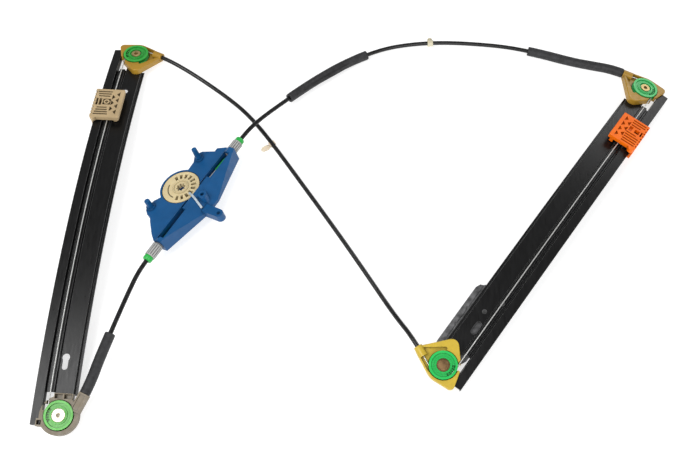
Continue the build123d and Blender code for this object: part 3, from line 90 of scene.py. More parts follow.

# Conduits: width and the routes of their centre lines in millimetres, and the steps of their curves
CONDUIT = 6.0
CONDUIT_ROUNDNESS = 5
CONDUIT_STEPS = 16
LINE_STEPS = 24
UPPER = "drum_to_right_top_conduit"
CROSS = "left_top_to_right_bottom_conduit"
LOWER = "drum_to_left_bottom_conduit"
ROUTES = {
    UPPER: [
        (-192.1, 114.9, 25.6),
        (-181.3, 132.9, 25.6),
        (-165.0, 153.1, 24.5),
        (-143.0, 178.1, 19.0),
        (-107.5, 215.6, 11.0),
        (-69.9, 248.0, 7.5),
        (-33.2, 272.3, 6.8),
        (11.7, 294.2, 6.8),
        (58.5, 304.6, 5.8),
        (108.7, 307.4, 5.8),
        (167.3, 302.8, 6.0),
        (206.8, 296.2, 6.8),
        (251.1, 283.9, 7.0),
        (291.9, 267.4, 9.5),
        (320.0, 255.3, 15.5),
        (348.5, 243.5, 21.9),
        (372.4, 234.0, 18.5),
    ],
    CROSS: [
        (-325.7, 277.2, 14.1),
        (-304.8, 265.7, 16.1),
        (-273.0, 247.6, 11.0),
        (-242.0, 227.1, 5.5),
        (-212.0, 203.1, 4.0),
        (-187.0, 179.1, 4.2),
        (-161.5, 146.6, 5.0),
        (-133.5, 105.1, 5.0),
        (-103.0, 59.1, 3.4),
        (-72.0, 11.6, 3.2),
        (-42.0, -35.4, 3.2),
        (-13.0, -82.4, 3.2),
        (6.5, -114.9, 3.6),
        (23.0, -143.4, 8.0),
        (40.5, -175.1, 23.3),
        (53.3, -197.3, 19.3),
    ],
    LOWER: [
        (-299.3, -65.7, 25.6),
        (-309.5, -82.9, 25.6),
        (-320.5, -114.4, 24.2),
        (-334.5, -158.9, 21.7),
        (-347.3, -202.9, 20.6),
        (-354.4, -237.6, 22.4),
        (-364.7, -258.8, 18.0),
    ],
}

# Foam sleeves, in millimetres; unevenness as steps along, turns of the seed, size and height
FOAM = 13.8
FOAM_SIDES = 40
FOAM_STEP = 1.5
FOAM_BORE_GAP = 0.15
FOAM_FULL = 0.970
FOAM_END_ROUNDING = 0.045
FOAM_LUMPS = ((0.055, 1.0, 0.8, 0.024), (0.21, 3.0, 2.0, 0.010))
FOAM_BEFORE_GLAND = 12.0

# Ferrules and their nuts: radii and places along the axis from the conduit's start, in millimetres
SHANK = 5.4
BARREL = 7.3
BARREL_FOOT = -27.0
BARREL_STARTS = {"upper": -18.8, "lower": -20.8}
BARREL_EDGE = 0.5
BARREL_COLLAR = 1.5
FLUTES = 14
SIDES_PER_FLUTE = 8
FLUTE_START = 1.6
FLUTE_DEPTH = 1.1
FERRULE_BORE = 1.2
CAP = 6.4
CAP_START = -2.0
CAP_END = 5.0
CAP_EDGE = 0.3
CAP_NOSE = ((1.4, 0.2), (0.4, 0.8), (0.0, 1.4))
CAP_GAP = 0.2

# Rails: foot of the bottom pulley, heading, roll, pulley span and the side of the outer lip
RAIL_RADIUS = 1400.0
RAIL_PAST_PULLEY = 12.5
BAND_OUTER = 35.0
LIP_DROP = 6.0
RAILS = {
    "left": ((-388.5, -272.4), 3.6, 0.0, 548.0, -1),
    "right": ((78.5, -209.4), 36.4, 5.0, 522.0, 1),
}

# How far moulded solids reach into each other, and cutters past the face that they open
OVERLAP = 1.0
SLIDER_CLEAR = 5.0
HOUSING_CLEAR = 20.0
SCREW_CLEAR = 3.0
PROFILE_REACH = 100.0

# Sliders, in millimetres from the web under their middle: across, along, wide, tall
SLIDER_ALONG = 169.5
NIPPLE_ALONG = 172.0
SLIDER_UNDER = 7.7
SLIDER_TOP = 13.4
SLIDER_FLOOR = {"left": 9.2, "right": 10.6}
SLIDER_PLATE = {"left": (-18.5, -1.0, 40.8, 53.0), "right": (-18.5, 0.0, 40.8, 50.0)}
SLIDER_CORNER = 1.5
LUG_CORNER = (-33.9, -25.5)
LUG_CORNER_RADIUS = 4.5
GROOVE = 2.2
GROOVE_MIDDLE = -24.9
POCKETS = {
    "left": (
        (GROOVE_MIDDLE, 20.8, 20.0, GROOVE),
        (GROOVE_MIDDLE, 16.6, 18.0, GROOVE),
        (GROOVE_MIDDLE, 12.4, 16.0, GROOVE),
        (GROOVE_MIDDLE, -8.9, 14.0, GROOVE),
        (GROOVE_MIDDLE, -13.0, 16.0, GROOVE),
        (GROOVE_MIDDLE, -17.1, 18.0, GROOVE),
        (GROOVE_MIDDLE, -21.2, 20.0, GROOVE),
    ),
    "right": (
        (GROOVE_MIDDLE, 20.8, 20.0, GROOVE),
        (GROOVE_MIDDLE, 16.6, 20.0, GROOVE),
        (-17.9, 4.5, 4.5, 9.0),
        (-22.6, 11.8, 14.0, GROOVE),
        (-21.9, -3.4, 15.0, GROOVE),
        (GROOVE_MIDDLE, -7.9, 20.0, GROOVE),
        (GROOVE_MIDDLE, -12.3, 20.0, GROOVE),
        (GROOVE_MIDDLE, -16.7, 20.0, GROOVE),
        (GROOVE_MIDDLE, -21.1, 20.0, GROOVE),
    ),
}
WINDOWS = {
    "left": ((-33.8, 2.0, 3.0, 13.0), (-29.0, 2.0, 3.6, 13.0)),
    "right": ((-27.6, 4.5, 7.0, 7.0), (-34.2, 4.5, 2.2, 9.0)),
}
BOSSES = {"left": ((-20.0, 2.0),), "right": ()}
BOSS_SIDE = 11.0
BOSS_RADIUS = 4.2
BOSS_RECESS = 2.2
GUSSETS = ((-3.7, -8.3, (16.5, 5.5, -5.5, -16.5)), (-13.7, -9.1, (11.0, 0.0, -11.0)))
GUSSET_HALF = 4.5
COMB_ROWS = 8
COMB_PITCH = 5.6
COMB_CUT = (-38.9, 4.4, 2.6)
SKIRT = (-37.175, 0.0, 3.45, 48.0)
SKIRT_FOOT = -8.7
HOOK = (-33.15, 0.0, 4.6, 48.0)
HOOK_TOP = -6.9
GUIDE = (-4.5, 0.0, 5.0, 48.0)
GUIDE_FOOT = 1.0
CRADLE_ACROSS = -15.0
CRADLE = (9.0, 15.0)
CRADLE_FOOT = 4.2
CRADLE_SLOT = (3.0, 17.0)
NIPPLE_ROOM = (5.0, 10.4)
NIPPLE_ROOM_TOP = 1.4

# Drum housing, in millimetres from the drum's top at its axis: across the cable line, along it
DRUM_SPOT = (-266.5, 41.6, 25.5)
CABLE_LINE_HEADING = 30.7
HOUSING_LEAN = 16.0
HOUSING_BOTTOM = -17.8
HOUSING_RIM = 4.0
DRUM_BOTTOM = -14.8
WELL = 27.5
RING = 30.1
HOUSING_CORNERS = (
    (-9, 28), (-10, 43), (-16, 53), (-10, 63), (8, 70), (8, 76), (20, 82), (36, 82), (45, 44),
    (53.5, 9), (53, -14), (34.5, -86), (20, -87), (11, -80), (-5, -64), (-10, -58), (-17, -56),
    (-24, -50), (-23, -34), (-16, -24),
)
HOUSING_TOP = ((-30.1, 0), (21.6, 0), (27.6, 4), (37, 4), (38.6, 2.4), (53.5, -13))
CHANNEL = (25.6, -4.0, 5.0, 156.0)
CHANNEL_FLARE = ((27.9, -8.5), (27.9, 6.0), (34.8, 6.0))
FLARE_RUNS = ((27.0, 73.0), (-80.0, -30.0))
CHANNEL_FLOOR = -12.3
FERRULE_LEVEL = -7.25
FERRULE_HOLE = 5.55
FERRULE_HOLES = ((74.0, 100.0), (-100.0, -82.0))
BACK_POCKETS = (
    ((31, 14), (47, 14), (39, 52), (34, 64), (31, 64)),
    ((31, -22), (46, -22), (38, -56), (34, -66), (31, -66)),
)
BACK_DEPTH = -9.8
LUG_SPOT = (74.0, -13.0)
LUG_ROOT = 25.0
LUG_RADIUS = 6.2
LUG_TURN = 10
LUG_TOP = -6.0
TOWER_SPOT = (43.0, -2.0)
TOWER_RADIUS = 6.0
TOWER_FOOT = -37.1
TOWER_TOP = 7.0
SCREW_BORE = 2.75
PEGS = ((-6.0, 51.0, 18.0), (-19.5, -44.0, 12.0))
PEG_COLLAR = 6.2
PEG_COLLAR_TOP = 2.0
PEG_RADIUS = 4.2
PEG_DRAFT = 2.0
SPIGOT_RADIUS = 8.0
SPIGOT_BORE = 6.2
SPIGOT_TOP = -7.5
STRAP_FROM = (19.0, -4.0)
STRAP_TO = (47.0, -15.3)
STRAP_CLEAR = 0.8
STRAP_THICK = 0.8
STRAP_WIDTH = 3.0

# Sides of the circles, from the drum's well down to the slider's small recess, and the corners of
# a plate: which way each one lies, where its rounding starts and the turns of its points
WELL_SIDES = 120
CORNER_SIDES = 72
HOLE_SIDES = 48
PEG_SIDES = 40
RECESS_SIDES = 32
CORNERS = ((1, 1, 0), (-1, 1, 90), (-1, -1, 180), (1, -1, 270))
CORNER_TURNS = (0, 30, 60, 90)


def place_camera():
    """Camera at the photograph's angle and distance."""
    data = bpy.data.cameras.new("photo_camera")
    data.sensor_width = SENSOR
    data.lens = FOCAL_PIXELS / PICTURE_WIDTH * SENSOR
    data.clip_end = CLIP_END
    camera = bpy.data.objects.new("photo_camera", data)
    camera.location = Vector(CAMERA_SPOT) * MM
    sight = (Vector(CAMERA_TARGET) - Vector(CAMERA_SPOT)) * MM
    camera.rotation_euler = sight.to_track_quat("-Z", "Y").to_euler()
    bpy.context.collection.objects.link(camera)
    bpy.context.scene.camera = camera


place_camera()


# Materials


class Nodes:
    """A material and short calls for the nodes that the finishes below share."""

    def __init__(self, name):
        self.material = bpy.data.materials.new(name)
        self.material.use_nodes = True
        self.tree = self.material.node_tree
        self.shader = self.tree.nodes["Principled BSDF"]
        self.where = self.tree.nodes.new("ShaderNodeTexCoord").outputs["Object"]

    def feed(self, socket, value):
        """Link a socket to another one, or set its value."""
        if isinstance(value, bpy.types.NodeSocket):
            self.tree.links.new(value, socket)
        else:
            socket.default_value = value

    def fill(self, node, inputs):
        """Feed a node's inputs by name, an underscore standing for each space."""
        for name, value in inputs.items():
            self.feed(node.inputs[name.replace("_", " ")], value)

    def add(self, kind, **inputs):
        """A new node with its inputs fed."""
        node = self.tree.nodes.new(kind)
        self.fill(node, inputs)
        return node

    def surface(self, **inputs):
        """Feed the inputs of the material's own shader."""
        self.fill(self.shader, inputs)

    def noise(self, scale, detail=3.0, rough=0.5, where=None):
        """Cloudy texture, 0 to 1."""
        inputs = {"Vector": where or self.where, "Scale": scale, "Detail": detail, "Roughness": rough}
        return self.add("ShaderNodeTexNoise", **inputs).outputs["Fac"]

    def span(self, value, low, high, out_low=0.0, out_high=1.0):
        """A value taken from one range to another."""
        ends = {"From_Min": low, "From_Max": high, "To_Min": out_low, "To_Max": out_high}
        return self.add("ShaderNodeMapRange", Value=value, **ends).outputs["Result"]

    def mix(self, factor, first, second):
        """One colour turning into another as the factor goes from 0 to 1."""
        node = self.tree.nodes.new("ShaderNodeMix")
        node.data_type = "RGBA"
        self.feed(node.inputs["Factor"], factor)
        self.feed(node.inputs[MIX_FIRST], first)
        self.feed(node.inputs[MIX_SECOND], second)
        return node.outputs[MIX_RESULT]

    def corner_shade_mask(self, distance, low, high, most=1.0):
        """Mask for painted shade: the given most in corners closer than a distance, and 0 on open
        faces.
        """
        node = self.add("ShaderNodeAmbientOcclusion", Distance=distance * MM)
        node.samples = SHADER_SAMPLES
        return self.span(node.outputs["AO"], low, high, most, 0.0)

    def edge_normal(self, radius):
        """Normal that rounds every edge by a radius."""
        node = self.add("ShaderNodeBevel", Radius=radius * MM)
        node.samples = SHADER_SAMPLES
        return node.outputs["Normal"]

    def sharp_edge_mask(self, radius, low=0.03, high=0.25):
        """1 at sharp edges and 0 away from them."""
        flat = self.tree.nodes.new("ShaderNodeNewGeometry").outputs["Normal"]
        dot = self.tree.nodes.new("ShaderNodeVectorMath")
        dot.operation = "DOT_PRODUCT"
        self.feed(dot.inputs[0], self.edge_normal(radius))
        self.feed(dot.inputs[1], flat)
        return self.span(dot.outputs["Value"], 1.0 - high, 1.0 - low, 1.0, 0.0)

    def bump(self, height, strength, depth, **normal):
        """Relief from a height, over the shape's own normal or another one."""
        inputs = {"Height": height, "Strength": strength, "Distance": depth * MM, **normal}
        return self.add("ShaderNodeBump", **inputs).outputs["Normal"]


def shade(colour, factor):
    """A colour made darker or lighter, with its alpha."""
    return tuple(min(1.0, channel * factor) for channel in colour) + (1.0,)


def moulding(name, colour, roughness, corner_shade=0.45, specular=0.5, glow=0.0, grain=1500.0, edge=0.35):
    """Moulded plastic: flow marks, fine grain, soft edges, and painted shade in the corners."""
    n = Nodes(name)
    flow = n.span(n.noise(scale=38.0, detail=4.0, rough=0.6), 0.3, 0.7)
    tone = n.mix(flow, shade(colour, 0.88), shade(colour, 1.10))
    specks = n.span(n.noise(scale=420.0, detail=2.0), 0.62, 0.75, out_high=0.35)
    tone = n.mix(specks, tone, shade(colour, 0.72))
    # Painted shade: the colour darkens in corners and creases, down to the given factor of itself.
    corner = n.corner_shade_mask(4.0, 0.25, 0.95)
    tone = n.mix(corner, tone, shade(colour, corner_shade))
    gloss = n.span(n.noise(scale=160.0), 0.3, 0.7, roughness - 0.07, roughness + 0.09)
    n.surface(Base_Color=tone, Roughness=gloss, Specular_IOR_Level=specular)
    if glow:
        n.surface(Subsurface_Weight=glow, Subsurface_Radius=GLOW_REACH)
    relief = n.noise(scale=grain, detail=2.0)
    n.surface(Normal=n.bump(relief, strength=0.22, depth=0.06, Normal=n.edge_normal(edge)))
    return n.material


def black_paint(name):
    """Baked paint on pressed steel: slight orange peel, faint rub marks, edges grey with wear and
    painted highlight.
    """
    n = Nodes(name)
    streak_map = n.add("ShaderNodeMapping", Vector=n.where, Scale=(9.0, 1.2, 1.0))
    streaks = n.noise(scale=46.0, detail=5.0, rough=0.65, where=streak_map.outputs["Vector"])
    tone = n.mix(n.span(streaks, 0.42, 0.72), shade(RAIL_PAINT, 0.85), shade(RAIL_PAINT, 1.7))
    dust = n.span(n.noise(scale=900.0, detail=2.0), 0.68, 0.80, out_high=0.35)
    tone = n.mix(dust, tone, DUST)
    # Wear and painted highlight: sharp edges turn light grey.
    tone = n.mix(n.sharp_edge_mask(0.8), tone, EDGE_WEAR_AND_HIGHLIGHT)
    gloss = n.span(streaks, 0.3, 0.7, 0.26, 0.40)
    n.surface(Base_Color=tone, Roughness=gloss, Specular_IOR_Level=0.34)
    peel = n.noise(scale=650.0, detail=2.0)
    n.surface(Normal=n.bump(peel, strength=0.10, depth=0.05, Normal=n.edge_normal(0.5)))
    return n.material


def metal(name, colour, roughness, scratch=0.25, dull=0.6):
    """Bare metal with fine scratches, duller patches and painted shade in its corners."""
    n = Nodes(name)
    patches = n.noise(scale=120.0, detail=4.0, rough=0.6)
    tone = n.mix(n.span(patches, 0.35, 0.7), shade(colour, dull), shade(colour, 1.05))
    # Painted shade: the colour darkens to a quarter in corners and creases.
    tone = n.mix(n.corner_shade_mask(1.5, 0.3, 0.95, most=0.75), tone, shade(colour, 0.25))
    gloss = n.span(patches, 0.3, 0.7, roughness, roughness + 0.16)
    n.surface(Base_Color=tone, Metallic=1.0, Roughness=gloss)
    scratches = n.noise(scale=2600.0)
    n.surface(Normal=n.bump(scratches, strength=scratch, depth=0.03, Normal=n.edge_normal(0.15)))
    return n.material


def strand_wire(name):
    """Twisted steel strands, with painted shade in their grooves and a painted highlight on their
    crowns.
    """
    n = Nodes(name)
    twist = n.add("ShaderNodeTexWave", Vector=n.where, Scale=520.0, Distortion=0.6, Detail=1.0)
    twist.bands_direction = "DIAGONAL"
    lay = twist.outputs["Fac"]
    # Painted shade and highlight: the colour follows the twist, dark in the grooves and light on the
    # crowns.
    tone = n.mix(n.span(lay, 0.1, 0.6), STRAND_GROOVE_SHADE, STRAND_CROWN_HIGHLIGHT)
    n.surface(Base_Color=tone, Metallic=0.6, Roughness=0.32)
    n.surface(Normal=n.bump(lay, strength=0.5, depth=0.12))
    return n.material


def conduit_skin(name):
    """Extruded black conduit: satin, with faint long scuffs."""
    n = Nodes(name)
    scuffs = n.noise(scale=210.0, detail=4.0, rough=0.6)
    tone = n.mix(n.span(scuffs, 0.45, 0.75), CONDUIT_BLACK, CONDUIT_SCUFF)
    gloss = n.span(scuffs, 0.3, 0.7, 0.22, 0.34)
    n.surface(Base_Color=tone, Roughness=gloss, Specular_IOR_Level=0.45)
    n.surface(Normal=n.bump(n.noise(scale=1500.0, detail=2.0), strength=0.12, depth=0.05))
    return n.material


def foam_skin(name):
    """Closed cell foam: matt, pitted, dark grey, with painted shade in the pits."""
    n = Nodes(name)
    pits = n.add("ShaderNodeTexVoronoi", Vector=n.where, Scale=900.0).outputs["Distance"]
    wear = n.noise(scale=140.0, detail=4.0, rough=0.6)
    tone = n.mix(n.span(wear, 0.35, 0.7), FOAM_DARK, FOAM_WORN)
    # Painted shade: the colour darkens towards the middle of each pit.
    tone = n.mix(n.span(pits, 0.0, 0.35, 0.7, 0.0), tone, FOAM_PIT_SHADE)
    n.surface(Base_Color=tone, Roughness=0.62, Normal=n.bump(pits, strength=0.55, depth=0.25))
    return n.material


def paint_node(node, material):
    """Give a CAD node its finish."""
    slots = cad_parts[node].material_slots
    if not slots:
        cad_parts[node].data.materials.append(material)
    for slot in slots:
        slot.material = material


# Pieces


def add_piece(name, data, material, node, body=ROOT):
    """Put a piece in the scene, riding a body and standing for a CAD node."""
    data.materials.append(material)
    piece = bpy.data.objects.new(name, data)
    bpy.context.collection.objects.link(piece)
    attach(piece, body)
    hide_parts(node)
    return piece


def smooth(mesh, sharp=None):
    """Smooth shading, with the edges over an angle in degrees kept sharp if one is given."""
    for polygon in mesh.polygons:
        polygon.use_smooth = True
    if sharp:
        mesh.set_sharp_from_angle(angle=math.radians(sharp))


def wrapped(name, rings):
    """Closed mesh through rings of points in order, the last ring joined to the first."""
    sides = len(rings[0])
    faces = []
    for i in range(len(rings)):
        here, ahead = i * sides, (i + 1) % len(rings) * sides
        for j in range(sides):
            k = (j + 1) % sides
            faces.append((here + j, here + k, ahead + k, ahead + j))
    mesh = bpy.data.meshes.new(name)
    mesh.from_pydata([tuple(spot) for points in rings for spot in points], [], faces)
    mesh.validate()
    mesh.flip_normals()
    return mesh


def square_to(ahead):
    """Level and upright directions square to a line."""
    side = ahead.cross(UP).normalized()
    return side, side.cross(ahead).normalized()


# Cords and foam


def conduit_curve(node, material):
    """The conduit as one smooth curve through its route, standing for its CAD tube."""
    points = [Vector(point) * MM for point in ROUTES[node]]
    data = bpy.data.curves.new(f"{node}_curve", "CURVE")
    data.dimensions = "3D"
    data.bevel_depth = CONDUIT / 2 * MM
    data.bevel_resolution = CONDUIT_ROUNDNESS
    data.resolution_u = CONDUIT_STEPS
    data.use_fill_caps = True
    spline = data.splines.new("NURBS")
    spline.points.add(len(points) - 1)
    for control, point in zip(spline.points, points):
        control.co = (*point, 1.0)
    spline.order_u = 3
    spline.use_endpoint_u = True
    return add_piece(f"{node}_cord", data, material, node)


def centreline(piece):
    """Points along a cord's own smooth line."""
    bare = piece.data.copy()
    bare.bevel_depth = 0.0
    bare.resolution_u = LINE_STEPS
    holder = bpy.data.objects.new("line_reader", bare)
    mesh = bpy.data.meshes.new_from_object(holder)
    line = [vertex.co.copy() for vertex in mesh.vertices]
    bpy.data.objects.remove(holder)
    bpy.data.meshes.remove(mesh)
    bpy.data.curves.remove(bare)
    return line


def between(line, start, stop):
    """The part of a line from its point nearest start to its point nearest stop."""
    first = min(range(len(line)), key=lambda i: (line[i] - start).length)
    last = min(range(len(line)), key=lambda i: (line[i] - stop).length)
    return line[first:last + 1]


def even(line, step):
    """A line walked at even steps."""
    walked = [line[0]]
    spare = 0.0
    for a, b in zip(line, line[1:]):
        run = (b - a).length
        reach = step - spare
        while reach <= run:
            walked.append(a.lerp(b, reach / run))
            reach += step
        spare = run - (reach - step)
    return walked


def foam_tube(name, line, seed, material):
    """Foam sleeve round a conduit: slightly swollen, uneven, with rounded cut ends and a bore."""
    path = even(line, FOAM_STEP * MM)
    last = len(path) - 1
    turns = [2 * math.pi * j / FOAM_SIDES for j in range(FOAM_SIDES)]
    rings = []
    for i, point in enumerate(path):
        side, up = square_to((path[min(i + 1, last)] - path[max(i - 1, 0)]).normalized())
        rounding = 1.0 - FOAM_END_ROUNDING * max(0.0, 1.0 - min(i, last - i)) ** 2
        points = []
        for turn in turns:
            x, y = math.cos(turn), math.sin(turn)
            swell = FOAM_FULL
            for along, seeds, size, height in FOAM_LUMPS:
                spot = Vector((i * along + seed * seeds, x * size, y * size))
                swell += height * noise.noise(spot)
            points.append(point + (side * x + up * y) * (FOAM / 2 * MM * rounding * swell))
        rings.append(points)
    bore = (CONDUIT / 2 + FOAM_BORE_GAP) * MM
    for end in (last, 0):
        centre = path[end]
        rings.append([centre + (spot - centre).normalized() * bore for spot in rings[end]])
    mesh = wrapped(name, rings)
    smooth(mesh)
    add_piece(name, mesh, material, f"{name}_sleeve")


def turned(name, node, origin, axis, profile, flutes, material):
    """Turned piece: stations along an axis and radii in millimetres, dipping at each flute."""
    side, up = square_to(axis)
    sides = FLUTES * SIDES_PER_FLUTE
    rings = []
    for station, radius, depth in profile:
        points = []
        for j in range(sides):
            turn = 2 * math.pi * j / sides
            dip = depth * max(0.0, math.cos(turn * flutes)) ** 2
            way = side * math.cos(turn) + up * math.sin(turn)
            points.append(origin + (axis * station + way * (radius - dip)) * MM)
        rings.append(points)
    mesh = wrapped(name, rings)
    smooth(mesh, TURNED_SHARP)
    add_piece(name, mesh, material, node)


def drum_gland(side, cord, barrel_finish, cap_finish):
    """Fluted ferrule with its green cap, where a conduit leaves the drum housing."""
    start, lead = (Vector(point) * MM for point in ROUTES[cord][:2])
    axis = (lead - start).normalized()
    barrel_start = BARREL_STARTS[side]
    barrel = (
        (BARREL_FOOT, FERRULE_BORE, 0),
        (BARREL_FOOT, SHANK, 0),
        (barrel_start, SHANK, 0),
        (barrel_start, BARREL - BARREL_EDGE, 0),
        (barrel_start + BARREL_EDGE, BARREL, 0),
        (barrel_start + BARREL_COLLAR, BARREL, 0),
        (barrel_start + FLUTE_START, BARREL, FLUTE_DEPTH),
        (CAP_START - FLUTE_START, BARREL, FLUTE_DEPTH),
        (CAP_START - BARREL_COLLAR, BARREL, 0),
        (CAP_START - BARREL_EDGE, BARREL, 0),
        (CAP_START, BARREL - BARREL_EDGE, 0),
        (CAP_START, FERRULE_BORE, 0),
    )
    cap = (
        (CAP_START, FERRULE_BORE, 0),
        (CAP_START, CAP - CAP_EDGE, 0),
        (CAP_START + CAP_EDGE, CAP, 0),
        *((CAP_END - back, CAP - drop, 0) for back, drop in CAP_NOSE),
        (CAP_END, CONDUIT / 2 + CAP_GAP, 0),
        (CAP_GAP, CONDUIT / 2 + CAP_GAP, 0),
        (CAP_GAP, FERRULE_BORE, 0),
    )
    node = f"{side}_ferrule"
    turned(f"{node}_barrel", node, start, axis, barrel, FLUTES, barrel_finish)
    turned(f"{node}_nut", f"{node}_cap", start, axis, cap, 0, cap_finish)


def on_run(node, run, share=0.5):
    """Place a share of the way along one run of a route."""
    a, b = ROUTES[node][run:run + 2]
    return Vector(a).lerp(Vector(b), share) * MM


def before_gland(node):
    """Place where a foam sleeve ends, on the last run of a route."""
    a, b = (Vector(point) * MM for point in ROUTES[node][-2:])
    return b + (a - b).normalized() * FOAM_BEFORE_GLAND * MM


conduit_finish = conduit_skin("conduit_black_satin")
foam_finish = foam_skin("foam_dark_cells")
cords = {node: conduit_curve(node, conduit_finish) for node in ROUTES}
lines = {node: centreline(piece) for node, piece in cords.items()}

# Foam sleeves: cord, both ends and the seed of the unevenness
foams = {
    "drum_side_foam": (UPPER, on_run(UPPER, 3), on_run(UPPER, 6), 1.7),
    "right_top_foam": (UPPER, on_run(UPPER, 11), before_gland(UPPER), 5.3),
    "left_bottom_foam": (LOWER, on_run(LOWER, 3, share=0.25), before_gland(LOWER), 9.1),
}
for name, (cord, start, stop, seed) in foams.items():
    foam_tube(name, between(lines[cord], start, stop), seed, foam_finish)

GREEN = {
    "roughness": 0.30, "corner_shade": 0.35, "specular": 0.4, "glow": 0.05, "grain": 2200.0, "edge": 0.25,
}
green_finish = moulding("cap_green", (0.022, 0.42, 0.065), **GREEN)
ferrule_finish = moulding("grey_ferrule", (0.42, 0.42, 0.41), roughness=0.34, corner_shade=0.25)
drum_gland("upper", UPPER, ferrule_finish, green_finish)
drum_gland("lower", LOWER, ferrule_finish, green_finish)


# Moulded forms, each built in millimetres in the frame of what carries it


def ring(spot, radius, sides=CORNER_SIDES):
    """Outline of a circle."""
    x, y = spot
    turns = [2 * math.pi * k / sides for k in range(sides)]
    return [(x + radius * math.cos(turn), y + radius * math.sin(turn)) for turn in turns]


def plate(across, along, wide, tall, corner=0.0):
    """Outline of a rectangle, its corners rounded if asked."""
    outline = []
    for way_x, way_y, start in CORNERS:
        x, y = across + way_x * (wide / 2 - corner), along + way_y * (tall / 2 - corner)
        for turn in CORNER_TURNS if corner else (0,):
            angle = math.radians(start + turn)
            outline.append((x + corner * math.cos(angle), y + corner * math.sin(angle)))
    return outline


def solid(outline, low, high, axes="xyz", top=None):
    """Closed solid from one level to another, towards a second outline if one is given."""
    order = ["xyz".index(axis) for axis in axes]
    shape = bmesh.new()
    loops = []
    for level, line in ((low, outline), (high, top or outline)):
        loop = []
        for u, v in line:
            spot = [0.0, 0.0, 0.0]
            for place, value in zip(order, (u, v, level)):
                spot[place] = value
            loop.append(shape.verts.new(spot))
        loops.append(loop)
        shape.faces.new(loop)
    count = len(outline)
    for i in range(count):
        k = (i + 1) % count
        shape.faces.new((loops[0][i], loops[0][k], loops[1][k], loops[1][i]))
    bmesh.ops.recalc_face_normals(shape, faces=shape.faces)
    data = bpy.data.meshes.new("form")
    shape.to_mesh(data)
    shape.free()
    thing = bpy.data.objects.new("form", data)
    bpy.context.collection.objects.link(thing)
    return thing


def join(*shape, **options):
    """Step that adds a solid."""
    return "UNION", solid(*shape, **options)


def cut(*shape, **options):
    """Step that takes a solid away."""
    return "DIFFERENCE", solid(*shape, **options)


def moulded(name, node, body, material, place, first, steps):
    """One piece out of solids joined, cut or shared in turn, set in its place for a CAD node."""
    for how, tool in steps:
        change = first.modifiers.new(how.lower(), "BOOLEAN")
        change.operation = how
        change.solver = "EXACT"
        change.object = tool
    shaped = first.evaluated_get(bpy.context.evaluated_depsgraph_get())
    data = bpy.data.meshes.new_from_object(shaped)
    data.name = name
    for thing in (first, *(tool for _, tool in steps)):
        shape = thing.data
        bpy.data.objects.remove(thing)
        bpy.data.meshes.remove(shape)
    data.transform(Matrix.Scale(MM, 4) @ place)
    if place.determinant() < 0:
        data.flip_normals()
    smooth(data, MOULDED_SHARP)
    data.materials.clear()
    add_piece(name, data, material, node, body)


def frame_matrix(origin, across, normal):
    """Matrix of a frame with x across and z along its normal."""
    ahead = normal.cross(across)
    rows = tuple((across[i], ahead[i], normal[i], origin[i]) for i in range(3))
    return Matrix(rows + ((0, 0, 0, 1),))


def bend(along):
    """Step along the rail's arc from its middle."""
    down = Matrix.Translation((0, 0, -RAIL_RADIUS))
    return down @ Matrix.Rotation(-along / RAIL_RADIUS, 4, "X") @ down.inverted()


def rail_matrix(side, along):
    """Frame on a rail's web, a length up the rail from its middle, mirrored on the right."""
    foot, heading, roll, span, outer = RAILS[side]
    turn, lean = math.radians(heading), math.radians(roll)
    ahead = Vector((math.sin(turn), math.cos(turn), 0))
    level = Vector((math.cos(turn), -math.sin(turn), 0))
    normal = UP * math.cos(lean) + level * math.sin(lean)
    across = level * math.cos(lean) - UP * math.sin(lean)
    half = math.asin(span / 2 / RAIL_RADIUS)
    rise = RAIL_RADIUS * (1 - math.cos(half))
    trial = frame_matrix(Vector((*foot, 0)) + ahead * (span / 2) + normal * rise, across, normal)
    end = RAIL_RADIUS * half + RAIL_PAST_PULLEY
    lip = Vector((outer * BAND_OUTER, 0, -LIP_DROP))
    low = min((trial @ bend(way * end) @ lip).z for way in (-1, 1))
    mirror = Matrix.Diagonal((-outer, 1, 1, 1))
    return Matrix.Translation((0, 0, -low)) @ trial @ bend(along) @ mirror


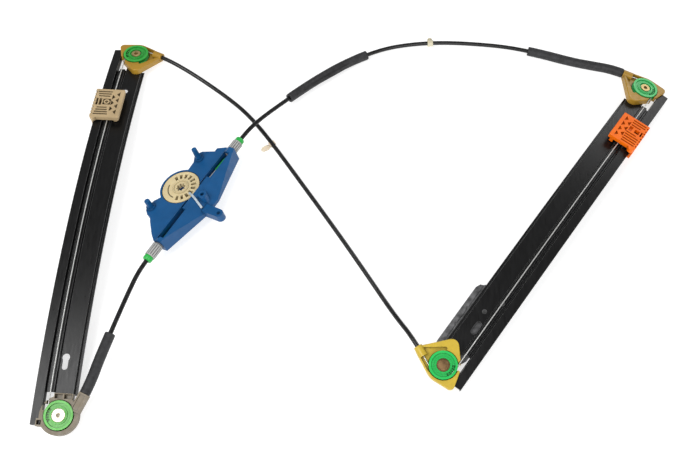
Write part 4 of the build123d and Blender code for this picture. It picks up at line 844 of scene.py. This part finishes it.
def slider(side, material):
    """Ribbed slider: pocketed plate, comb, hook round the lip, guide foot and nipple cradle."""
    clear = SLIDER_TOP + SLIDER_CLEAR
    floor = SLIDER_FLOOR[side]
    inside = SLIDER_UNDER + OVERLAP
    steps = [join(ring(LUG_CORNER, LUG_CORNER_RADIUS), SLIDER_UNDER, SLIDER_TOP)]
    steps += [cut(plate(*pocket), floor, clear) for pocket in POCKETS[side]]
    steps += [cut(plate(*window), SLIDER_UNDER - SLIDER_CLEAR, clear) for window in WINDOWS[side]]
    for spot in BOSSES[side]:
        steps.append(cut(plate(*spot, BOSS_SIDE, BOSS_SIDE), floor, clear))
        steps.append(join(ring(spot, BOSS_RADIUS, PEG_SIDES), floor - OVERLAP, SLIDER_TOP))
        steps.append(cut(ring(spot, BOSS_RECESS, RECESS_SIDES), floor, clear))
    for flat, tip, rows in GUSSETS:
        for along in rows:
            corners = ((flat, along - GUSSET_HALF), (tip, along), (flat, along + GUSSET_HALF))
            steps.append(cut(corners, floor, clear))
    edge, reach, width = COMB_CUT
    for row in range(COMB_ROWS):
        along = (row - (COMB_ROWS - 1) / 2) * COMB_PITCH
        steps.append(cut(plate(edge, along, reach, width), floor, clear))
    cradle = (CRADLE_ACROSS, NIPPLE_ALONG - SLIDER_ALONG)
    steps += [
        join(plate(*SKIRT), SKIRT_FOOT, inside),
        join(plate(*HOOK), SKIRT_FOOT, HOOK_TOP),
        join(plate(*GUIDE), GUIDE_FOOT, inside),
        join(plate(*cradle, *CRADLE), CRADLE_FOOT, inside),
        cut(plate(*cradle, *CRADLE_SLOT), CRADLE_FOOT - OVERLAP, SLIDER_UNDER),
        cut(plate(*cradle, *NIPPLE_ROOM), CRADLE_FOOT - OVERLAP, SLIDER_UNDER + NIPPLE_ROOM_TOP),
    ]
    first = solid(plate(*SLIDER_PLATE[side], SLIDER_CORNER), SLIDER_UNDER, SLIDER_TOP)
    place = rail_matrix(side, SLIDER_ALONG)
    body = f"{side}_slider_body"
    moulded(f"{side}_ribbed_slider", f"{side}_slider", body, material, place, first, steps)


def drum_matrix():
    """Frame on the drum's top at its axis: y along the cable line."""
    turn, lean = math.radians(CABLE_LINE_HEADING), math.radians(HOUSING_LEAN)
    line = Vector((math.sin(turn), math.cos(turn), 0))
    drop = math.sin(lean)
    normal = Vector((-math.cos(turn) * drop, math.sin(turn) * drop, math.cos(lean)))
    return frame_matrix(Vector(DRUM_SPOT), line.cross(normal), normal)


def lug_outline():
    """Outline of the lug: a half circle round its hole and straight sides into the housing."""
    x, y = LUG_SPOT
    arc = [math.radians(turn) for turn in range(-90, 91, LUG_TURN)]
    tip = [(x + LUG_RADIUS * math.cos(turn), y + LUG_RADIUS * math.sin(turn)) for turn in arc]
    return tip + [(x - LUG_ROOT, y + LUG_RADIUS), (x - LUG_ROOT, y - LUG_RADIUS)]


def drum_housing(material):
    """Stepped housing: drum well, ring wall, cable channel, tower, pegs, lug and hollow back."""
    axis = (0, 0)
    clear = TOWER_TOP + HOUSING_CLEAR
    under = HOUSING_BOTTOM - OVERLAP
    left, right = HOUSING_TOP[0][0], HOUSING_TOP[-1][0]
    profile = [(left, HOUSING_BOTTOM), *HOUSING_TOP, (right, HOUSING_BOTTOM)]
    steps = [
        join(ring(axis, RING, WELL_SIDES), HOUSING_BOTTOM, HOUSING_RIM),
        ("INTERSECT", solid(profile, -PROFILE_REACH, PROFILE_REACH, axes="xzy")),
        join(lug_outline(), HOUSING_BOTTOM, LUG_TOP),
        cut(ring(axis, WELL, WELL_SIDES), DRUM_BOTTOM, clear),
        cut(plate(*CHANNEL), CHANNEL_FLOOR, clear),
    ]
    ferrule = ring((CHANNEL[0], FERRULE_LEVEL), FERRULE_HOLE, HOLE_SIDES)
    steps += [cut(ferrule, *run, axes="xzy") for run in FERRULE_HOLES]
    steps += [cut(pocket, under, BACK_DEPTH) for pocket in BACK_POCKETS]
    steps.append(join(ring(TOWER_SPOT, TOWER_RADIUS, HOLE_SIDES), TOWER_FOOT, TOWER_TOP))
    for across, along, length in PEGS:
        spot = (across, along)
        peg = ring(spot, PEG_RADIUS, PEG_SIDES)
        tip = ring(spot, PEG_RADIUS - length * math.tan(math.radians(PEG_DRAFT)), PEG_SIDES)
        steps.append(join(ring(spot, PEG_COLLAR, HOLE_SIDES), HOUSING_BOTTOM, PEG_COLLAR_TOP))
        steps.append(join(peg, PEG_COLLAR_TOP - OVERLAP, length + PEG_COLLAR_TOP, top=tip))
    for spot in (TOWER_SPOT, LUG_SPOT):
        steps.append(cut(ring(spot, SCREW_BORE, PEG_SIDES), TOWER_FOOT - SCREW_CLEAR, clear))
    steps.append(join(ring(axis, SPIGOT_RADIUS, HOLE_SIDES), HOUSING_BOTTOM + OVERLAP, SPIGOT_TOP))
    steps.append(cut(ring(axis, SPIGOT_BORE, HOLE_SIDES), under, SPIGOT_TOP + OVERLAP))
    steps += [cut(CHANNEL_FLARE, *run, axes="xzy") for run in FLARE_RUNS]
    first = solid(HOUSING_CORNERS, HOUSING_BOTTOM, HOUSING_RIM)
    place = drum_matrix()
    name, node = "drum_housing_mould", "drum_housing"
    moulded(name, node, ROOT, material, place, first, steps)


def housing_top(across):
    """Height of the housing's top at a place across the cable line."""
    for (near, low), (far, high) in zip(HOUSING_TOP, HOUSING_TOP[1:]):
        if near <= across <= far:
            return low + (high - low) * (across - near) / (far - near)
    raise ValueError(f"{across} is off the housing's top")


def drum_strap(material):
    """Clear strap over the drum's rim and the rib, down the housing's slope."""
    start, stop = STRAP_FROM[0], STRAP_TO[0]
    lead = Vector(STRAP_TO) - Vector(STRAP_FROM)
    stretch = lead.length / lead.x
    stops = [start, *(x for x, _ in HOUSING_TOP if start < x < stop), stop]
    under = [((x - start) * stretch, housing_top(x) + STRAP_CLEAR) for x in stops]
    over = [(x, z + STRAP_THICK) for x, z in reversed(under)]
    first = solid(under + over, -STRAP_WIDTH / 2, STRAP_WIDTH / 2, axes="xzy")
    heading = Matrix.Rotation(math.atan2(lead.y, lead.x), 4, "Z")
    place = drum_matrix() @ (Matrix.Translation((*STRAP_FROM, 0)) @ heading)
    moulded("drum_strap", "drum_transport_strap", ROOT, material, place, first, [])


BEIGE = {"roughness": 0.46, "corner_shade": 0.30, "specular": 0.45, "glow": 0.06}
ORANGE = {"roughness": 0.45, "corner_shade": 0.42, "specular": 0.25, "glow": 0.05}
BLUE = {"roughness": 0.40, "corner_shade": 0.28, "specular": 0.32}
CLEAR = {"roughness": 0.30, "corner_shade": 0.7, "specular": 0.5, "glow": 0.1}
slider("left", moulding("beige_moulding", (0.50, 0.37, 0.205), **BEIGE))
slider("right", moulding("orange_moulding", (1.0, 0.165, 0.002), **ORANGE))
drum_housing(moulding("blue_moulding", (0.006, 0.082, 0.235), **BLUE))
drum_strap(moulding("clear_strap", (0.46, 0.53, 0.58), **CLEAR))

# Finishes of the CAD nodes
CREAM = {"roughness": 0.42, "corner_shade": 0.42, "specular": 0.45, "glow": 0.08}
CLIP = {"roughness": 0.40, "corner_shade": 0.6, "specular": 0.5, "glow": 0.15}
HOUSINGS = {
    "left_top": ("ochre_moulding", (0.42, 0.235, 0.022), 0.40),
    "right_top": ("ochre_moulding_right", (0.40, 0.225, 0.022), 0.40),
    "right_bottom": ("mustard_moulding", (0.60, 0.42, 0.035), 0.38),
    "left_bottom": ("taupe_moulding", (0.17, 0.135, 0.085), 0.44),
}
PULLEY_GREENS = {
    "left_top": (0.040, 0.42, 0.060),
    "left_bottom": (0.085, 0.44, 0.045),
    "right_top": (0.055, 0.54, 0.140),
    "right_bottom": (0.022, 0.52, 0.100),
}
rail_finish = black_paint("rail_black_paint")
wire_finish = strand_wire("steel_strands")
brass_finish = metal("rivet_brass", (0.78, 0.60, 0.28), roughness=0.42)
copper_finish = metal("rivet_copper", (0.30, 0.185, 0.09), roughness=0.34)
tin_finish = metal("rivet_tinned", (0.80, 0.73, 0.57), roughness=0.42, scratch=0.2, dull=0.8)
steel_finish = metal("bright_steel", (0.72, 0.72, 0.70), roughness=0.24)
phosphate_finish = metal("bracket_phosphate", (0.24, 0.24, 0.245), 0.40, scratch=0.3, dull=0.45)
clinch_finish = metal("clinch_black", (0.20, 0.20, 0.20), roughness=0.26, scratch=0.3, dull=0.5)
finishes = {
    "left_rail": rail_finish,
    "right_rail": rail_finish,
    "right_rail_bracket": phosphate_finish,
    "bracket_clinch_rivets": clinch_finish,
    "left_rail_cable": wire_finish,
    "right_rail_cable": wire_finish,
    "upper_drum_cable": wire_finish,
    "lower_drum_cable": wire_finish,
    "drum_wire_turns": wire_finish,
    "left_cable_nipple": steel_finish,
    "right_cable_nipple": steel_finish,
    "cable_drum": moulding("cream_moulding", (0.68, 0.56, 0.32), **CREAM),
    "conduit_ring_clip": moulding("cream_clip", (0.72, 0.66, 0.48), **CLIP),
    "conduit_edge_clip": moulding("cream_edge_clip", (0.78, 0.66, 0.49), **CLIP),
    "upper_cable_sleeve": green_finish,
    "lower_cable_sleeve": green_finish,
}
for end, green in PULLEY_GREENS.items():
    finishes[f"{end}_pulley_housing"] = moulding(*HOUSINGS[end])
    finishes[f"{end}_pulley"] = moulding(f"{end}_green", green, **GREEN)
    finishes[f"{end}_pulley_rivet"] = brass_finish
finishes["right_bottom_pulley_rivet"] = copper_finish
finishes["left_bottom_pulley_rivet"] = tin_finish
for node, material in finishes.items():
    paint_node(node, material)


# Stage


def soft_box(name, spot, size, power):
    """Square soft box pointed at the object's middle."""
    data = bpy.data.lights.new(name, "AREA")
    data.size = size
    data.energy = power
    light = bpy.data.objects.new(name, data)
    light.location = spot
    light.rotation_euler = (-Vector(spot)).to_track_quat("-Z", "Y").to_euler()
    bpy.context.collection.objects.link(light)


def studio():
    """Plain pale floor under plain soft light."""
    mesh = bpy.data.meshes.new("floor")
    half = FLOOR_SIZE / 2
    corners = [(-half, -half, 0), (half, -half, 0), (half, half, 0), (-half, half, 0)]
    mesh.from_pydata(corners, [], [(0, 1, 2, 3)])
    floor = bpy.data.objects.new("floor", mesh)
    bpy.context.collection.objects.link(floor)
    n = Nodes("floor_paper")
    dark, light = (shade(FLOOR_COLOUR, 1.0 + way * FLOOR_MOTTLE) for way in (-1, 1))
    mottle = n.mix(n.noise(scale=3.0), dark, light)
    n.surface(Base_Color=mottle, Roughness=0.9, Specular_IOR_Level=0.1)
    n.surface(Emission_Color=WHITE, Emission_Strength=FLOOR_GLOW)
    mesh.materials.append(n.material)
    world = bpy.data.worlds.new("studio")
    world.use_nodes = True
    back = world.node_tree.nodes["Background"]
    back.inputs["Color"].default_value = WHITE
    back.inputs["Strength"].default_value = SKY_STRENGTH
    bpy.context.scene.world = world
    bpy.context.scene.view_settings.view_transform = "Standard"
    for box in SOFT_BOXES:
        soft_box(*box)


studio()
